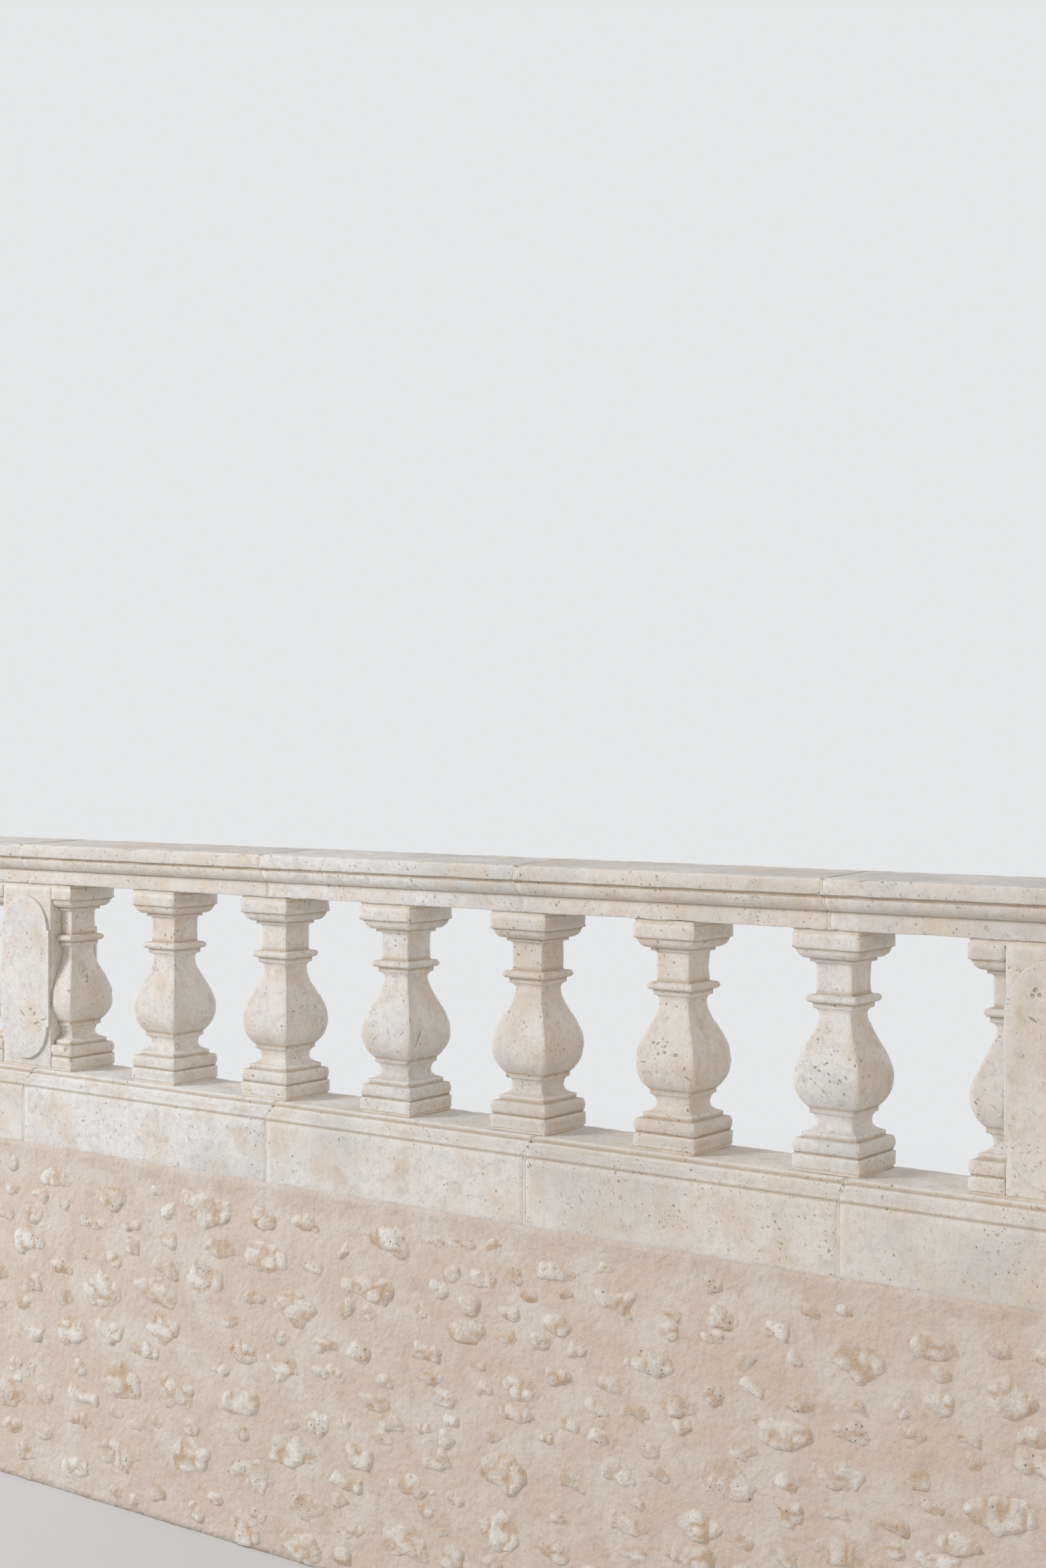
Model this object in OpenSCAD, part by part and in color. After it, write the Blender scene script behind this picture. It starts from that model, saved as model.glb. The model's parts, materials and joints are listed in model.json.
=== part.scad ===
// Stone balustrade on a low retaining wall: two bays between three panelled piers.
// Origin: ground level at the middle of the run. X runs along the wall, Y through it, Z up.
// The front, which looks out over the lower ground, faces -Y.

/* [Run] */
// Distance between the axes of two neighbouring balusters
spacing = 500; // [470:1:560]
// Width of a pier along the run
pier_w = 250; // [220:1:300]

/* [Balusters] */
// Width and depth of a baluster's base block and abacus
baluster_w = 202; // [180:1:220]
// Height of a baluster's stone, without its mortar beds
baluster_h = 608; // [560:1:660]

/* [Piers] */
// How far the panel on a pier stands proud of the pier's corners
panel_proud = 10; // [6:1:12]
// Width of the shoulder beside the round end of a panel
panel_shoulder = 11; // [8:1:20]
// Height of plain stone under a panel's round end
panel_foot = 20; // [15:1:40]
// Height of plain stone over a panel's round end
panel_head = 28; // [15:1:40]

/* [Cap] */
// Height of the cap at its front arris
cap_h = 138; // [130:1:160]
// How far the cap's slab stands out past the balusters
cap_overhang = 46; // [44:1:60]
// Fall of the cap's top from back to front, which sheds the rain
cap_fall = 7; // [0:1:12]

/* [Plinth course] */
// Height of the moulded course that carries the balusters
course_h = 250; // [200:1:300]
// How far the face of the course stands out past the balusters
course_out = 56; // [56:1:70]

/* [Wall] */
// Height of the rubble wall, from the ground to the plinth course
wall_h = 1150; // [600:10:1600]
// How far the wall's face stands back from the face of the course
wall_back = 4; // [0:1:12]

/* [Mortar] */
// Thickness of the bed under a baluster or pier
lower_bed = 9; // [6:1:14]
// Thickness of the bed between a baluster or pier and the cap
upper_bed = 13; // [8:1:18]
// Width of the upright joints between the stones of a course
joint_w = 7; // [4:1:10]
// How far the mortar stands back from the stone around it
joint_recess = 2; // [1:0.5:3]

/* [Hidden] */
$fn = 48;

// The run: piers stand a bay apart, and a half baluster stands against each face that meets a bay
bays = 2;
balusters_per_bay = 6;
bay_pitch = pier_w + (balusters_per_bay + 1) * spacing;
pier_x = [for (i = [0 : bays]) (i - bays / 2) * bay_pitch];
baluster_x = [for (bay = [0 : bays - 1], i = [1 : balusters_per_bay])
    pier_x[bay] + pier_w / 2 + i * spacing];
run_half = bays * bay_pitch / 2 + pier_w / 2;
half_w = baluster_w / 2;

// Levels above the ground
course_z = wall_h;
bed_z = course_z + course_h;
stone_z = bed_z + lower_bed;
upper_bed_z = stone_z + baluster_h;
cap_z = upper_bed_z + upper_bed;

// Upright joints of the two courses: distances from the pier at the left of each bay
cap_steps = [1152, 2148, 3140];
course_steps = [1189, 2192, 3193];
cap_middle_joint = 22;
course_middle_joint = 53;
cap_cuts = concat([for (s = cap_steps) pier_x[0] + s], [cap_middle_joint],
    [for (s = cap_steps) pier_x[1] + s]);
course_cuts = concat([for (s = course_steps) pier_x[0] + s], [course_middle_joint],
    [for (s = course_steps) pier_x[1] + s]);

// Names of the pieces, in the order they are built
COURSE_STONES = [for (i = [0 : len(course_cuts)]) str("plinth_stone_", i + 1)];
PIERS = ["pier_left", "pier_middle", "pier_right"];
HALVES = ["half_baluster_1", "half_baluster_2", "half_baluster_3", "half_baluster_4"];
BALUSTERS = [for (bay = ["left", "right"], i = [1 : balusters_per_bay])
    str("baluster_", bay, "_", i)];
CAP_STONES = [for (i = [0 : len(cap_cuts)]) str("cap_stone_", i + 1)];
MORTARS = ["mortar_under_balusters", "mortar_over_balusters", "mortar_in_plinth_joints",
    "mortar_in_cap_joints"];

STONE = "#e6dfd2";
MORTAR = "#c9bba6";
RUBBLE = "#cdbda8";

// Points of an elliptical arc about c, with half axes r, from angle a to angle b
function arc(c, r, a, b, n = 8) =
    [for (i = [0 : n]) let (t = a + (b - a) * i / n) [c[0] + r[0] * cos(t), c[1] + r[1] * sin(t)]];

// Points of a cubic curve from p to s, which leaves p towards q and reaches s from r
function curve(p, q, r, s, n = 10) =
    [for (i = [0 : n]) let (t = i / n, u = 1 - t)
        u * u * u * p + 3 * u * u * t * q + 3 * u * t * t * r + t * t * t * s];

// An outline made of a right side, drawn from its foot up, and its mirror image
function both_sides(side) = two_sides(side, side);
function two_sides(right, left) =
    concat(right, [for (i = [len(left) - 1 : -1 : 0]) [-left[i][0], left[i][1]]]);

// The same side moved out by d
function moved_out(side, d) = [for (p = side) [p[0] + d, p[1]]];

// The same side drawn in by the mortar's recess, with its foot left where it is
function recessed(side) = [for (p = side) [p[0] - joint_recess, max(0, p[1] - joint_recess)]];

// BALUSTER
// Heights of its members, from the foot up. The bulb takes what is left.
base_h = 37;
torus_h = 40;
foot_fillet_h = 15;
scotia_h = 46;
band_h = 14;
collar_h = 12;
astragal_h = 25;
neck_h = 82;
listel_h = 9;
ovolo_h = 29;
abacus_h = 38;
bulb_h = baluster_h - base_h - torus_h - foot_fillet_h - scotia_h - band_h
    - collar_h - astragal_h - neck_h - listel_h - ovolo_h - abacus_h;

// Levels of its members above its foot
foot_fillet_z = base_h + torus_h;
scotia_z = foot_fillet_z + foot_fillet_h;
band_z = scotia_z + scotia_h;
bulb_z = band_z + band_h;
collar_z = bulb_z + bulb_h;
astragal_z = collar_z + collar_h;
neck_z = astragal_z + astragal_h;
listel_z = neck_z + neck_h;
ovolo_z = listel_z + listel_h;
abacus_z = ovolo_z + ovolo_h;
waist_z = scotia_z + scotia_h / 2;
belly_z = bulb_z + 0.3 * bulb_h;
throat_z = collar_z - 17;

// Half widths of its members
torus_in = 0.92 * half_w;
foot_fillet_w = 0.81 * half_w;
waist_w = 0.555 * half_w;
band_w = 0.673 * half_w;
belly_w = 0.97 * half_w;
throat_w = 0.49 * half_w;
collar_w = 0.61 * half_w;
astragal_w = 0.752 * half_w;
neck_w = 0.54 * half_w;
listel_w = 0.654 * half_w;
ovolo_w = 0.93 * half_w;

// Small steps between members, and the hollow under the listel
quirk = 2;
scotia_lip = 4;
hollow_r = 6;

baluster_side = concat(
    [[half_w, 0], [half_w, base_h - quirk], [torus_in, base_h]],
    arc([torus_in, base_h + torus_h / 2], [half_w - torus_in, torus_h / 2 - 1], -90, 90, 6),
    [[foot_fillet_w, foot_fillet_z], [foot_fillet_w, scotia_z]],
    arc([foot_fillet_w, waist_z], [foot_fillet_w - waist_w, waist_z - scotia_z], 260, 180, 4),
    arc([band_w - scotia_lip, waist_z], [band_w - scotia_lip - waist_w, band_z - waist_z - 1],
        170, 90, 3),
    [[band_w, band_z], [band_w, bulb_z]],
    curve([band_w, bulb_z], [band_w + 14, bulb_z + 14], [belly_w, belly_z - 42], [belly_w, belly_z],
        6),
    curve([belly_w, belly_z + 4], [belly_w, belly_z + 68], [throat_w + 2, throat_z - 54],
        [throat_w, throat_z], 9),
    arc([throat_w + 9, throat_z], [9, 15], 165, 105, 2),
    [[collar_w, collar_z], [collar_w, astragal_z]],
    arc([collar_w, astragal_z + astragal_h / 2], [astragal_w - collar_w, astragal_h / 2 - 1],
        -90, 90, 6),
    [[neck_w, neck_z]],
    arc([neck_w + hollow_r, listel_z - hollow_r], [hollow_r, hollow_r], 180, 100, 2),
    [[listel_w, listel_z], [listel_w, ovolo_z]],
    arc([listel_w, abacus_z - quirk], [ovolo_w - listel_w, ovolo_h - quirk - 1], -90, 0, 5),
    [[half_w, abacus_z], [half_w, baluster_h]]);

// A square-section baluster: one outline cut across the block both ways, so that the
// mouldings meet in mitres at its four corners
module baluster_stone() {
    outline = both_sides(baluster_side);
    intersection() {
        rotate([90, 0, 0]) linear_extrude(baluster_w + 2, center = true) polygon(outline);
        rotate([90, 0, 90]) linear_extrude(baluster_w + 2, center = true) polygon(outline);
    }
}

module baluster(x) {
    color(STONE) translate([x, 0, stone_z]) baluster_stone();
}

// Half a baluster set against a pier: side is 1 where the bay is to the pier's right
module half_baluster(x, side) {
    color(STONE) translate([x, 0, stone_z]) intersection() {
        baluster_stone();
        translate([side > 0 ? 0 : -baluster_w, -baluster_w, -1])
            cube([baluster_w, 2 * baluster_w, baluster_h + 2]);
    }
}

// PIER
// A block with a raised panel front and back: as wide as the pier, with round ends
module pier(x) {
    end_r = pier_w / 2 - panel_shoulder;
    low = panel_foot + end_r;
    high = baluster_h - panel_head - end_r;
    color(STONE) translate([x, 0, stone_z]) {
        translate([-pier_w / 2, -half_w, 0]) cube([pier_w, baluster_w, baluster_h]);
        rotate([90, 0, 0]) linear_extrude(baluster_w + 2 * panel_proud, center = true) {
            translate([-pier_w / 2, low]) square([pier_w, high - low]);
            translate([0, low]) circle(end_r);
            translate([0, high]) circle(end_r);
        }
    }
}

// CAP
fascia_h = 50;
fascia_w = half_w + 5;
cap_ovolo_h = 37;
cap_ovolo_in = half_w + 2;
cap_ovolo_out = half_w + 37;
cap_quirk_h = 6;
cap_quirk_w = half_w + 34;
slab_w = half_w + cap_overhang;
slab_z = fascia_h + cap_ovolo_h + cap_quirk_h;
arris_r = 9;

// One side of the cap, from its foot to where its top starts, at a height of h
function cap_side(h) = concat(
    [[fascia_w, 0], [fascia_w, fascia_h - quirk]],
    arc([cap_ovolo_in, fascia_h + cap_ovolo_h], [cap_ovolo_out - cap_ovolo_in, cap_ovolo_h],
        -88, 0, 6),
    [[cap_quirk_w, fascia_h + cap_ovolo_h], [cap_quirk_w, slab_z], [slab_w, slab_z]],
    arc([slab_w - arris_r, h - arris_r], [arris_r, arris_r], 0, 90, 4));

cap_front = cap_side(cap_h);
cap_back = cap_side(cap_h + cap_fall);

// PLINTH COURSE
course_fillet_h = 13;
course_fillet_w = half_w + 14;
course_hollow_w = half_w + 28;
course_hollow_h = 15;
bead_r = 9;
bead_z = course_h - 46;
course_face_w = half_w + course_out;
course_hollow_r = [12, 13];

// One side of the course, from its foot to its top
course_side = concat(
    [[course_face_w, 0], [course_face_w, bead_z - bead_r - quirk]],
    arc([course_face_w - bead_r, bead_z], [bead_r, bead_r], -60, 66, 5),
    arc([course_hollow_w + course_hollow_r[0], course_h - course_hollow_h], course_hollow_r,
        270, 184, 4),
    [[course_fillet_w, course_h - course_fillet_h], [course_fillet_w, course_h]]);

// A length of a course from x = a to x = b, with its section drawn across the wall
module course_length(outline, a, b) {
    translate([a, 0, 0]) rotate([90, 0, 90]) linear_extrude(b - a) polygon(outline);
}

// The same length, whose mouldings also return round the end of the run. The end view is
// that of the whole run, seen from the front.
module returned_length(outline, end_view, a, b) {
    intersection() {
        course_length(outline, a, b);
        rotate([90, 0, 0]) linear_extrude(2 * run_half, center = true) polygon(end_view);
    }
}

// Stone number i of a course that is cut at the given joints
module course_stone(outline, end_view, cuts, i) {
    reach = run_half + course_out + cap_overhang;
    a = i == 0 ? -reach : cuts[i - 1] + joint_w / 2;
    b = i == len(cuts) ? reach : cuts[i] - joint_w / 2;
    if (i == 0 || i == len(cuts)) returned_length(outline, end_view, a, b);
    else course_length(outline, a, b);
}

module cap_stone(i) {
    end_side = moved_out(cap_side(cap_h + cap_fall), run_half - half_w);
    color(STONE) translate([0, 0, cap_z])
        course_stone(two_sides(cap_back, cap_front), both_sides(end_side), cap_cuts, i);
}

module plinth_stone(i) {
    end_side = moved_out(course_side, run_half - half_w);
    color(STONE) translate([0, 0, course_z])
        course_stone(both_sides(course_side), both_sides(end_side), course_cuts, i);
}

// WALL
// Rubble masonry, a little behind the face of the plinth course all round
module rubble_wall() {
    half_l = run_half + course_out - wall_back;
    half_t = course_face_w - wall_back;
    color(RUBBLE) translate([-half_l, -half_t, 0]) cube([2 * half_l, 2 * half_t, wall_h]);
}

// MORTAR
// A bed of thickness t at level z, under or over every baluster and pier
module bed(z, t) {
    lap = 2 * joint_recess;
    color(MORTAR) {
        for (x = baluster_x) translate([x - half_w + joint_recess, -half_w + joint_recess, z])
            cube([baluster_w - lap, baluster_w - lap, t]);
        for (i = [0 : bays]) {
            left = pier_x[i] - pier_w / 2 - (i > 0 ? half_w : 0) + joint_recess;
            right = pier_x[i] + pier_w / 2 + (i < bays ? half_w : 0) - joint_recess;
            translate([left, -half_w + joint_recess, z]) cube([right - left, baluster_w - lap, t]);
        }
    }
}

// The mortar in every upright joint of a course
module joints(outline, cuts, z) {
    color(MORTAR) for (x = cuts) translate([0, 0, z])
        course_length(outline, x - joint_w / 2, x + joint_w / 2);
}

rubble_wall();
for (i = [0 : len(COURSE_STONES) - 1])
    plinth_stone(i);
for (i = [0 : bays])
    pier(pier_x[i]);
for (i = [0 : len(HALVES) - 1]) {
    side = i % 2 == 0 ? 1 : -1;
    x = pier_x[ceil(i / 2)] + side * pier_w / 2;
    half_baluster(x, side);
}
for (i = [0 : len(BALUSTERS) - 1])
    baluster(baluster_x[i]);
for (i = [0 : len(CAP_STONES) - 1])
    cap_stone(i);
bed(bed_z, lower_bed);  // mortar_under_balusters
bed(upper_bed_z, upper_bed);  // mortar_over_balusters
joints(both_sides(recessed(course_side)), course_cuts, course_z);  // mortar_in_plinth_joints
joints(two_sides(recessed(cap_back), recessed(cap_front)), cap_cuts, cap_z);  // mortar_in_cap_joints
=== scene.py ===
"""Dresses a stone balustrade on its low rubble wall, in a plain studio.

Two bays of square-section balusters stand between three panelled piers, on a moulded plinth
course and under a moulded cap. Every stone is built here again from its own moulding, inside
the plain solid that it replaces, with the soft arrises, chips and pits of weathered limestone.
Lengths are in metres, apart from the mouldings, which are drawn in millimetres.
"""

import json
import logging
import math
from collections.abc import Iterable
from dataclasses import dataclass, field, replace
from enum import Enum
from typing import Any, Self

import bpy
import numpy as np
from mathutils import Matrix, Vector
from mathutils.kdtree import KDTree

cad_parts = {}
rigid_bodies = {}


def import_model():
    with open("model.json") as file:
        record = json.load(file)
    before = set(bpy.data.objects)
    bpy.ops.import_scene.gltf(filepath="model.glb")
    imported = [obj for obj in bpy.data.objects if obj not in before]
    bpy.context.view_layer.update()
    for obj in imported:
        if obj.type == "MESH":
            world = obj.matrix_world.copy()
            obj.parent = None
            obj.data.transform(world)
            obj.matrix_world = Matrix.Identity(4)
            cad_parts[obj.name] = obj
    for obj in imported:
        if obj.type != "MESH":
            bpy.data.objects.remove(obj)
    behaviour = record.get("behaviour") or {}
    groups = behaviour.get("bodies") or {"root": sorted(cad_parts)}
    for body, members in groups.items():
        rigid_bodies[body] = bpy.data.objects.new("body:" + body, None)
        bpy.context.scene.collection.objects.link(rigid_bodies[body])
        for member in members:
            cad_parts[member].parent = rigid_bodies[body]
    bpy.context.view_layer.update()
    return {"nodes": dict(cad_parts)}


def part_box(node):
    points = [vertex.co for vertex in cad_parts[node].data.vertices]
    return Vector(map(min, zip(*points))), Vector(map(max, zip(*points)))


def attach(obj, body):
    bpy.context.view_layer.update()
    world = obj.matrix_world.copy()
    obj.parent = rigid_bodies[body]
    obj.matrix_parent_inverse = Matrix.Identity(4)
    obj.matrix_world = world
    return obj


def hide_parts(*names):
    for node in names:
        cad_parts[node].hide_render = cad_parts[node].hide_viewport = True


log = logging.getLogger("balustrade")

MM = 0.001
FAR = 1.0
WARMEST = 0.3
BODY = "root"

# The photograph's frame, in pixels: its height, its focal length and the row of its horizon
PHOTO_HEIGHT = 2351
PHOTO_FOCAL = 3283.7
PHOTO_HORIZON = 1113.9


class Slot(Enum):
    """The record's material slots."""

    LIMESTONE = "limestone"
    MORTAR = "lime_mortar"
    RUBBLE = "rubble_masonry"


class Side(Enum):
    """A face of the wall, by the direction that it looks in along Y."""

    FRONT = -1
    BACK = 1


@dataclass(frozen=True)
class Solids:
    """The names of the frame's plain solids."""

    names: tuple[str, ...]

    def called(self, start: str) -> list[str]:
        """Returns the solids whose names start so, from left to right."""
        found = [name for name in self.names if name.startswith(start)]
        return sorted(found, key=lambda name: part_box(name)[0].x)

    def pier_faces(self) -> list[float]:
        """Returns the X of each pier's right face."""
        return [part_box(name)[1].x for name in self.called("pier_")]


# Noise, outlines and shells


class Noise:
    """Smooth seeded noise in space, from -1 to 1."""

    PERIOD = 32

    def __init__(self, seed: int) -> None:
        """Fills the lattice.

        Args:
            seed: The lattice's random seed.
        """
        self.lattice = np.random.default_rng(seed).uniform(-1.0, 1.0, (self.PERIOD,) * 3)

    def at(self, points: np.ndarray, size: float) -> np.ndarray:
        """Reads the noise.

        Args:
            points: Places, one a row.
            size: The distance over which the noise changes.

        Returns:
            One value a place.
        """
        scaled = points / size
        cell = np.floor(scaled).astype(int)
        t = scaled - cell
        t = t * t * (3.0 - 2.0 * t)
        total = np.zeros(len(points))
        for corner in range(8):
            step = np.array([corner & 1, corner >> 1 & 1, corner >> 2 & 1])
            weight = np.prod(np.where(step, t, 1.0 - t), axis=1)
            i, j, k = ((cell + step) % self.PERIOD).T
            total += weight * self.lattice[i, j, k]
        return total

    def layered(self, points: np.ndarray, size: float, layers: int = 3) -> np.ndarray:
        """Sums the noise over halving sizes.

        Args:
            points: Places, one a row.
            size: The distance over which the broadest layer changes.
            layers: How many layers are summed, each half as strong as the one before.

        Returns:
            One value a place, from -1 to 1.
        """
        total = np.zeros(len(points))
        for layer in range(layers):
            total += self.at(points + 7.3 * layer, size / 2**layer) / 2**layer
        return total / (2.0 - 2.0 ** (1 - layers))


@dataclass(frozen=True)
class Levels:
    """An outline cut into the levels of a mesh, from the foot up, in metres.

    Each level notes how far it is from the nearest arris, from 0 to 1 how near a hollow, how
    wide a bevel its member has room for, and from 0 to 1 how steep it is.
    """

    SEAT_ROOM = 2.5 * MM

    out: np.ndarray
    up: np.ndarray
    from_arris: np.ndarray
    hollow: np.ndarray
    room: np.ndarray
    steep: np.ndarray

    @classmethod
    def plain(cls, out: np.ndarray, up: np.ndarray) -> Self:
        """Returns levels that have no arris, no hollow and next to no room for a bevel."""
        return cls(out, up, up * 0 + FAR, up * 0, up * 0 + MM, up * 0 + 1)

    def raised_by(self, rise: float) -> Self:
        """Returns the levels set higher by a distance."""
        return replace(self, up=self.up + rise)

    def seated(self, foot_lap: float, top_lap: float | None = None) -> Self:
        """Spares the edges that rest in mortar, and laps them into it.

        Args:
            foot_lap: How far the foot reaches into the mortar below it.
            top_lap: How far the top reaches into the mortar above it, or None where it is bare.

        Returns:
            The levels, with little room for a bevel there.
        """
        up = self.up.copy()
        up[0] -= foot_lap
        room = np.minimum(self.room, self.SEAT_ROOM + (up - up[0]) / 2)
        if top_lap is not None:
            up[-1] += top_lap
            room = np.minimum(room, self.SEAT_ROOM + (up[-1] - up) / 2)
        return replace(self, up=up, room=room)


class Outline:
    """One side of a moulding, drawn from its foot up in millimetres.

    Each point is (out, up): its distance from the middle of the stone, and its height.
    """

    ARRIS_TURN = math.radians(33)
    EDGE = 2.0
    HOLLOW_REACH = 5.0
    ROOM_SHARE = 0.42
    ROOM_AT_HOLLOW = 2.0

    def __init__(self, out: float, up: float) -> None:
        """Starts the outline.

        Args:
            out: The first point's distance from the middle.
            up: The first point's height.
        """
        self.points = [(out, up)]

    def to(self, out: float, up: float) -> Self:
        """Draws a straight line to (out, up)."""
        self.points.append((out, up))
        return self

    def arc(
        self,
        centre: tuple[float, float],
        radii: tuple[float, float],
        start: float,
        end: float,
        pitch: float = 4.0,
    ) -> Self:
        """Draws an elliptical arc, after a straight line to where it starts.

        Args:
            centre: The middle of the ellipse.
            radii: Its half axes, outwards and upwards.
            start: The angle at which the arc starts, in degrees from outwards.
            end: The angle at which it ends.
            pitch: The distance between its points.

        Returns:
            The outline.
        """
        length = math.radians(abs(end - start)) * sum(radii) / 2
        for turn in np.radians(np.linspace(start, end, max(3, round(length / pitch)) + 1)):
            out = centre[0] + radii[0] * math.cos(turn)
            self.points.append((out, centre[1] + radii[1] * math.sin(turn)))
        return self

    def curve(
        self,
        leaving: tuple[float, float],
        arriving: tuple[float, float],
        end: tuple[float, float],
        pitch: float = 9.0,
    ) -> Self:
        """Draws a cubic curve from the last point.

        Args:
            leaving: The point that the curve leaves towards.
            arriving: The point that it arrives from.
            end: Where it ends.
            pitch: The distance between its points.

        Returns:
            The outline.
        """
        corners = np.array([self.points[-1], leaving, arriving, end], float)
        steps = max(3, round(math.dist(corners[0], corners[3]) / pitch))
        for t in np.linspace(0.0, 1.0, steps + 1)[1:]:
            weights = np.array([(1 - t) ** 3, 3 * t * (1 - t) ** 2, 3 * t * t * (1 - t), t**3])
            self.points.append(tuple(weights @ corners))
        return self

    def levels(self, pitch: float) -> Levels:
        """Cuts the outline into levels, closer together beside each corner.

        Args:
            pitch: The distance between levels on the straight stretches.

        Returns:
            The levels.
        """
        points = np.array([p for i, p in enumerate(self.points) if i == 0 or p != self.points[i - 1]])
        steps = np.diff(points, axis=0)
        lengths = np.hypot(*steps.T)
        heading = np.arctan2(steps[:, 1], steps[:, 0])
        turns = (np.diff(heading) + math.pi) % (2 * math.pi) - math.pi
        turns = np.concatenate([[math.pi / 2], turns, [math.pi / 2]])
        sharp = np.abs(turns) > self.ARRIS_TURN
        along = np.concatenate([[0.0], np.cumsum(lengths)])
        places = [along[0]]
        for i, length in enumerate(lengths):
            inner = []
            if length > 3 * self.EDGE:
                inner += [self.EDGE] if sharp[i] else []
                inner += [length - self.EDGE] if sharp[i + 1] else []
                inner += list(np.linspace(0.0, length, max(1, round(length / pitch)) + 1)[1:-1])
            places += [along[i] + place for place in sorted(inner)] + [along[i + 1]]
        places = np.array(places)
        out = np.interp(places, along, points[:, 0])
        up = np.interp(places, along, points[:, 1])
        from_arris = self._gap(places, along[turns > self.ARRIS_TURN])
        from_hollow = self._gap(places, along[turns < -self.ARRIS_TURN])
        corners = along[sharp]
        widths = np.diff(corners)
        last = len(widths) - 1
        above = np.clip(np.searchsorted(corners, places, side="right") - 1, 0, last)
        below = np.clip(np.searchsorted(corners, places, side="left") - 1, 0, last)
        room = np.minimum(
            self.ROOM_SHARE * np.minimum(widths[above], widths[below]),
            self.ROOM_AT_HOLLOW + from_hollow / 2,
        )
        # How near a hollow, where the limestone's finish paints grime and painted shade
        hollow = np.exp(-((from_hollow / self.HOLLOW_REACH) ** 2))
        steep = np.abs(np.gradient(up, places))
        return Levels(out * MM, up * MM, from_arris * MM, hollow, room * MM, steep)

    @staticmethod
    def _gap(places: np.ndarray, corners: np.ndarray) -> np.ndarray:
        """Returns how far each place is from the nearest corner."""
        marks = np.append(corners, FAR / MM)
        return np.abs(places[:, None] - marks[None, :]).min(axis=1)


@dataclass
class Shell:
    """A closed mesh with what its wear and its finish need to know about each point."""

    AT_ARRIS = 0.3 * MM
    ARRIS_BAND = 8.0 * MM

    points: np.ndarray
    faces: list[tuple[int, ...]]
    from_arris: np.ndarray
    hollow: np.ndarray
    room: np.ndarray
    tone: float | np.ndarray = 0.0
    arris_reach: float = 4.5 * MM

    def normals(self) -> np.ndarray:
        """Finds the outward direction at each point.

        Returns:
            One direction a point, 1 long.
        """
        summed = np.zeros_like(self.points)
        for size in {len(face) for face in self.faces}:
            faces = np.array([face for face in self.faces if len(face) == size])
            corners = self.points[faces]
            diagonal = corners[:, 2] - corners[:, 0]
            other = corners[:, -1] - corners[:, 1] if size == 4 else corners[:, 1] - corners[:, 0]
            across = np.cross(diagonal, other) if size == 4 else np.cross(other, diagonal)
            for column in faces.T:
                np.add.at(summed, column, across)
        return summed / np.maximum(np.linalg.norm(summed, axis=1, keepdims=True), 1e-12)

    def nearest_arris(self, reach: float) -> np.ndarray:
        """Finds the arris point nearest to each point.

        Args:
            reach: How far from an arris it is looked for.

        Returns:
            The index of that point, or the point's own index where it is out of reach.
        """
        nearest = np.arange(len(self.points))
        on_arris = np.flatnonzero(self.from_arris < self.AT_ARRIS)
        beside = np.flatnonzero((self.from_arris >= self.AT_ARRIS) & (self.from_arris < reach))
        if len(on_arris) == 0:
            return nearest
        tree = KDTree(len(on_arris))
        for index in on_arris:
            tree.insert(self.points[index], int(index))
        tree.balance()
        nearest[beside] = [tree.find(self.points[index])[1] for index in beside]
        return nearest

    def inwards(self, nearest: np.ndarray) -> np.ndarray:
        """Finds the way in from each point, where an arris moves in with both of its faces.

        Args:
            nearest: The index of the arris point nearest to each point.

        Returns:
            One direction a point, longer than 1 beside an arris.
        """
        normals = self.normals()
        beside = np.exp(-((self.from_arris / self.ARRIS_BAND) ** 2))[:, None]
        return (beside - 1.0) * normals - beside * math.sqrt(2.0) * normals[nearest]

    @classmethod
    def joined(cls, shells: list[Self]) -> Self:
        """Joins shells.

        Args:
            shells: The shells, which keep their order.

        Returns:
            All of them as one mesh.
        """
        faces: list[tuple[int, ...]] = []
        start = 0
        for shell in shells:
            faces += [tuple(index + start for index in face) for face in shell.faces]
            start += len(shell.points)
        return cls(
            np.concatenate([shell.points for shell in shells]),
            faces,
            np.concatenate([shell.from_arris for shell in shells]),
            np.concatenate([shell.hollow for shell in shells]),
            np.concatenate([shell.room for shell in shells]),
            np.concatenate([np.full(len(shell.points), shell.tone) for shell in shells]),
            shells[0].arris_reach,
        )

    def to_object(self, name: str, material: bpy.types.Material) -> bpy.types.Object:
        """Makes the mesh an object.

        Args:
            name: The object's name.
            material: Its finish, which reads the arris, hollow and tone attributes.

        Returns:
            The object, linked to the scene.
        """
        mesh = bpy.data.meshes.new(name)
        mesh.from_pydata(self.points.tolist(), [], self.faces)
        mesh.materials.append(material)
        mesh.shade_smooth()
        arris = np.exp(-((self.from_arris / self.arris_reach) ** 2))
        # Both finishes paint shade where hollow is high, together with the limestone's grime and the
        # rubble's ochre stain. The limestone's finish paints a highlight where arris is high, together with
        # newly exposed stone
        values = {"arris": arris, "hollow": self.hollow, "tone": np.full(len(self.points), self.tone)}
        for label, value in values.items():
            mesh.attributes.new(label, "FLOAT", "POINT").data.foreach_set("value", value.astype(np.float32))
        piece = bpy.data.objects.new(name, mesh)
        bpy.context.scene.collection.objects.link(piece)
        return piece


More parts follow.
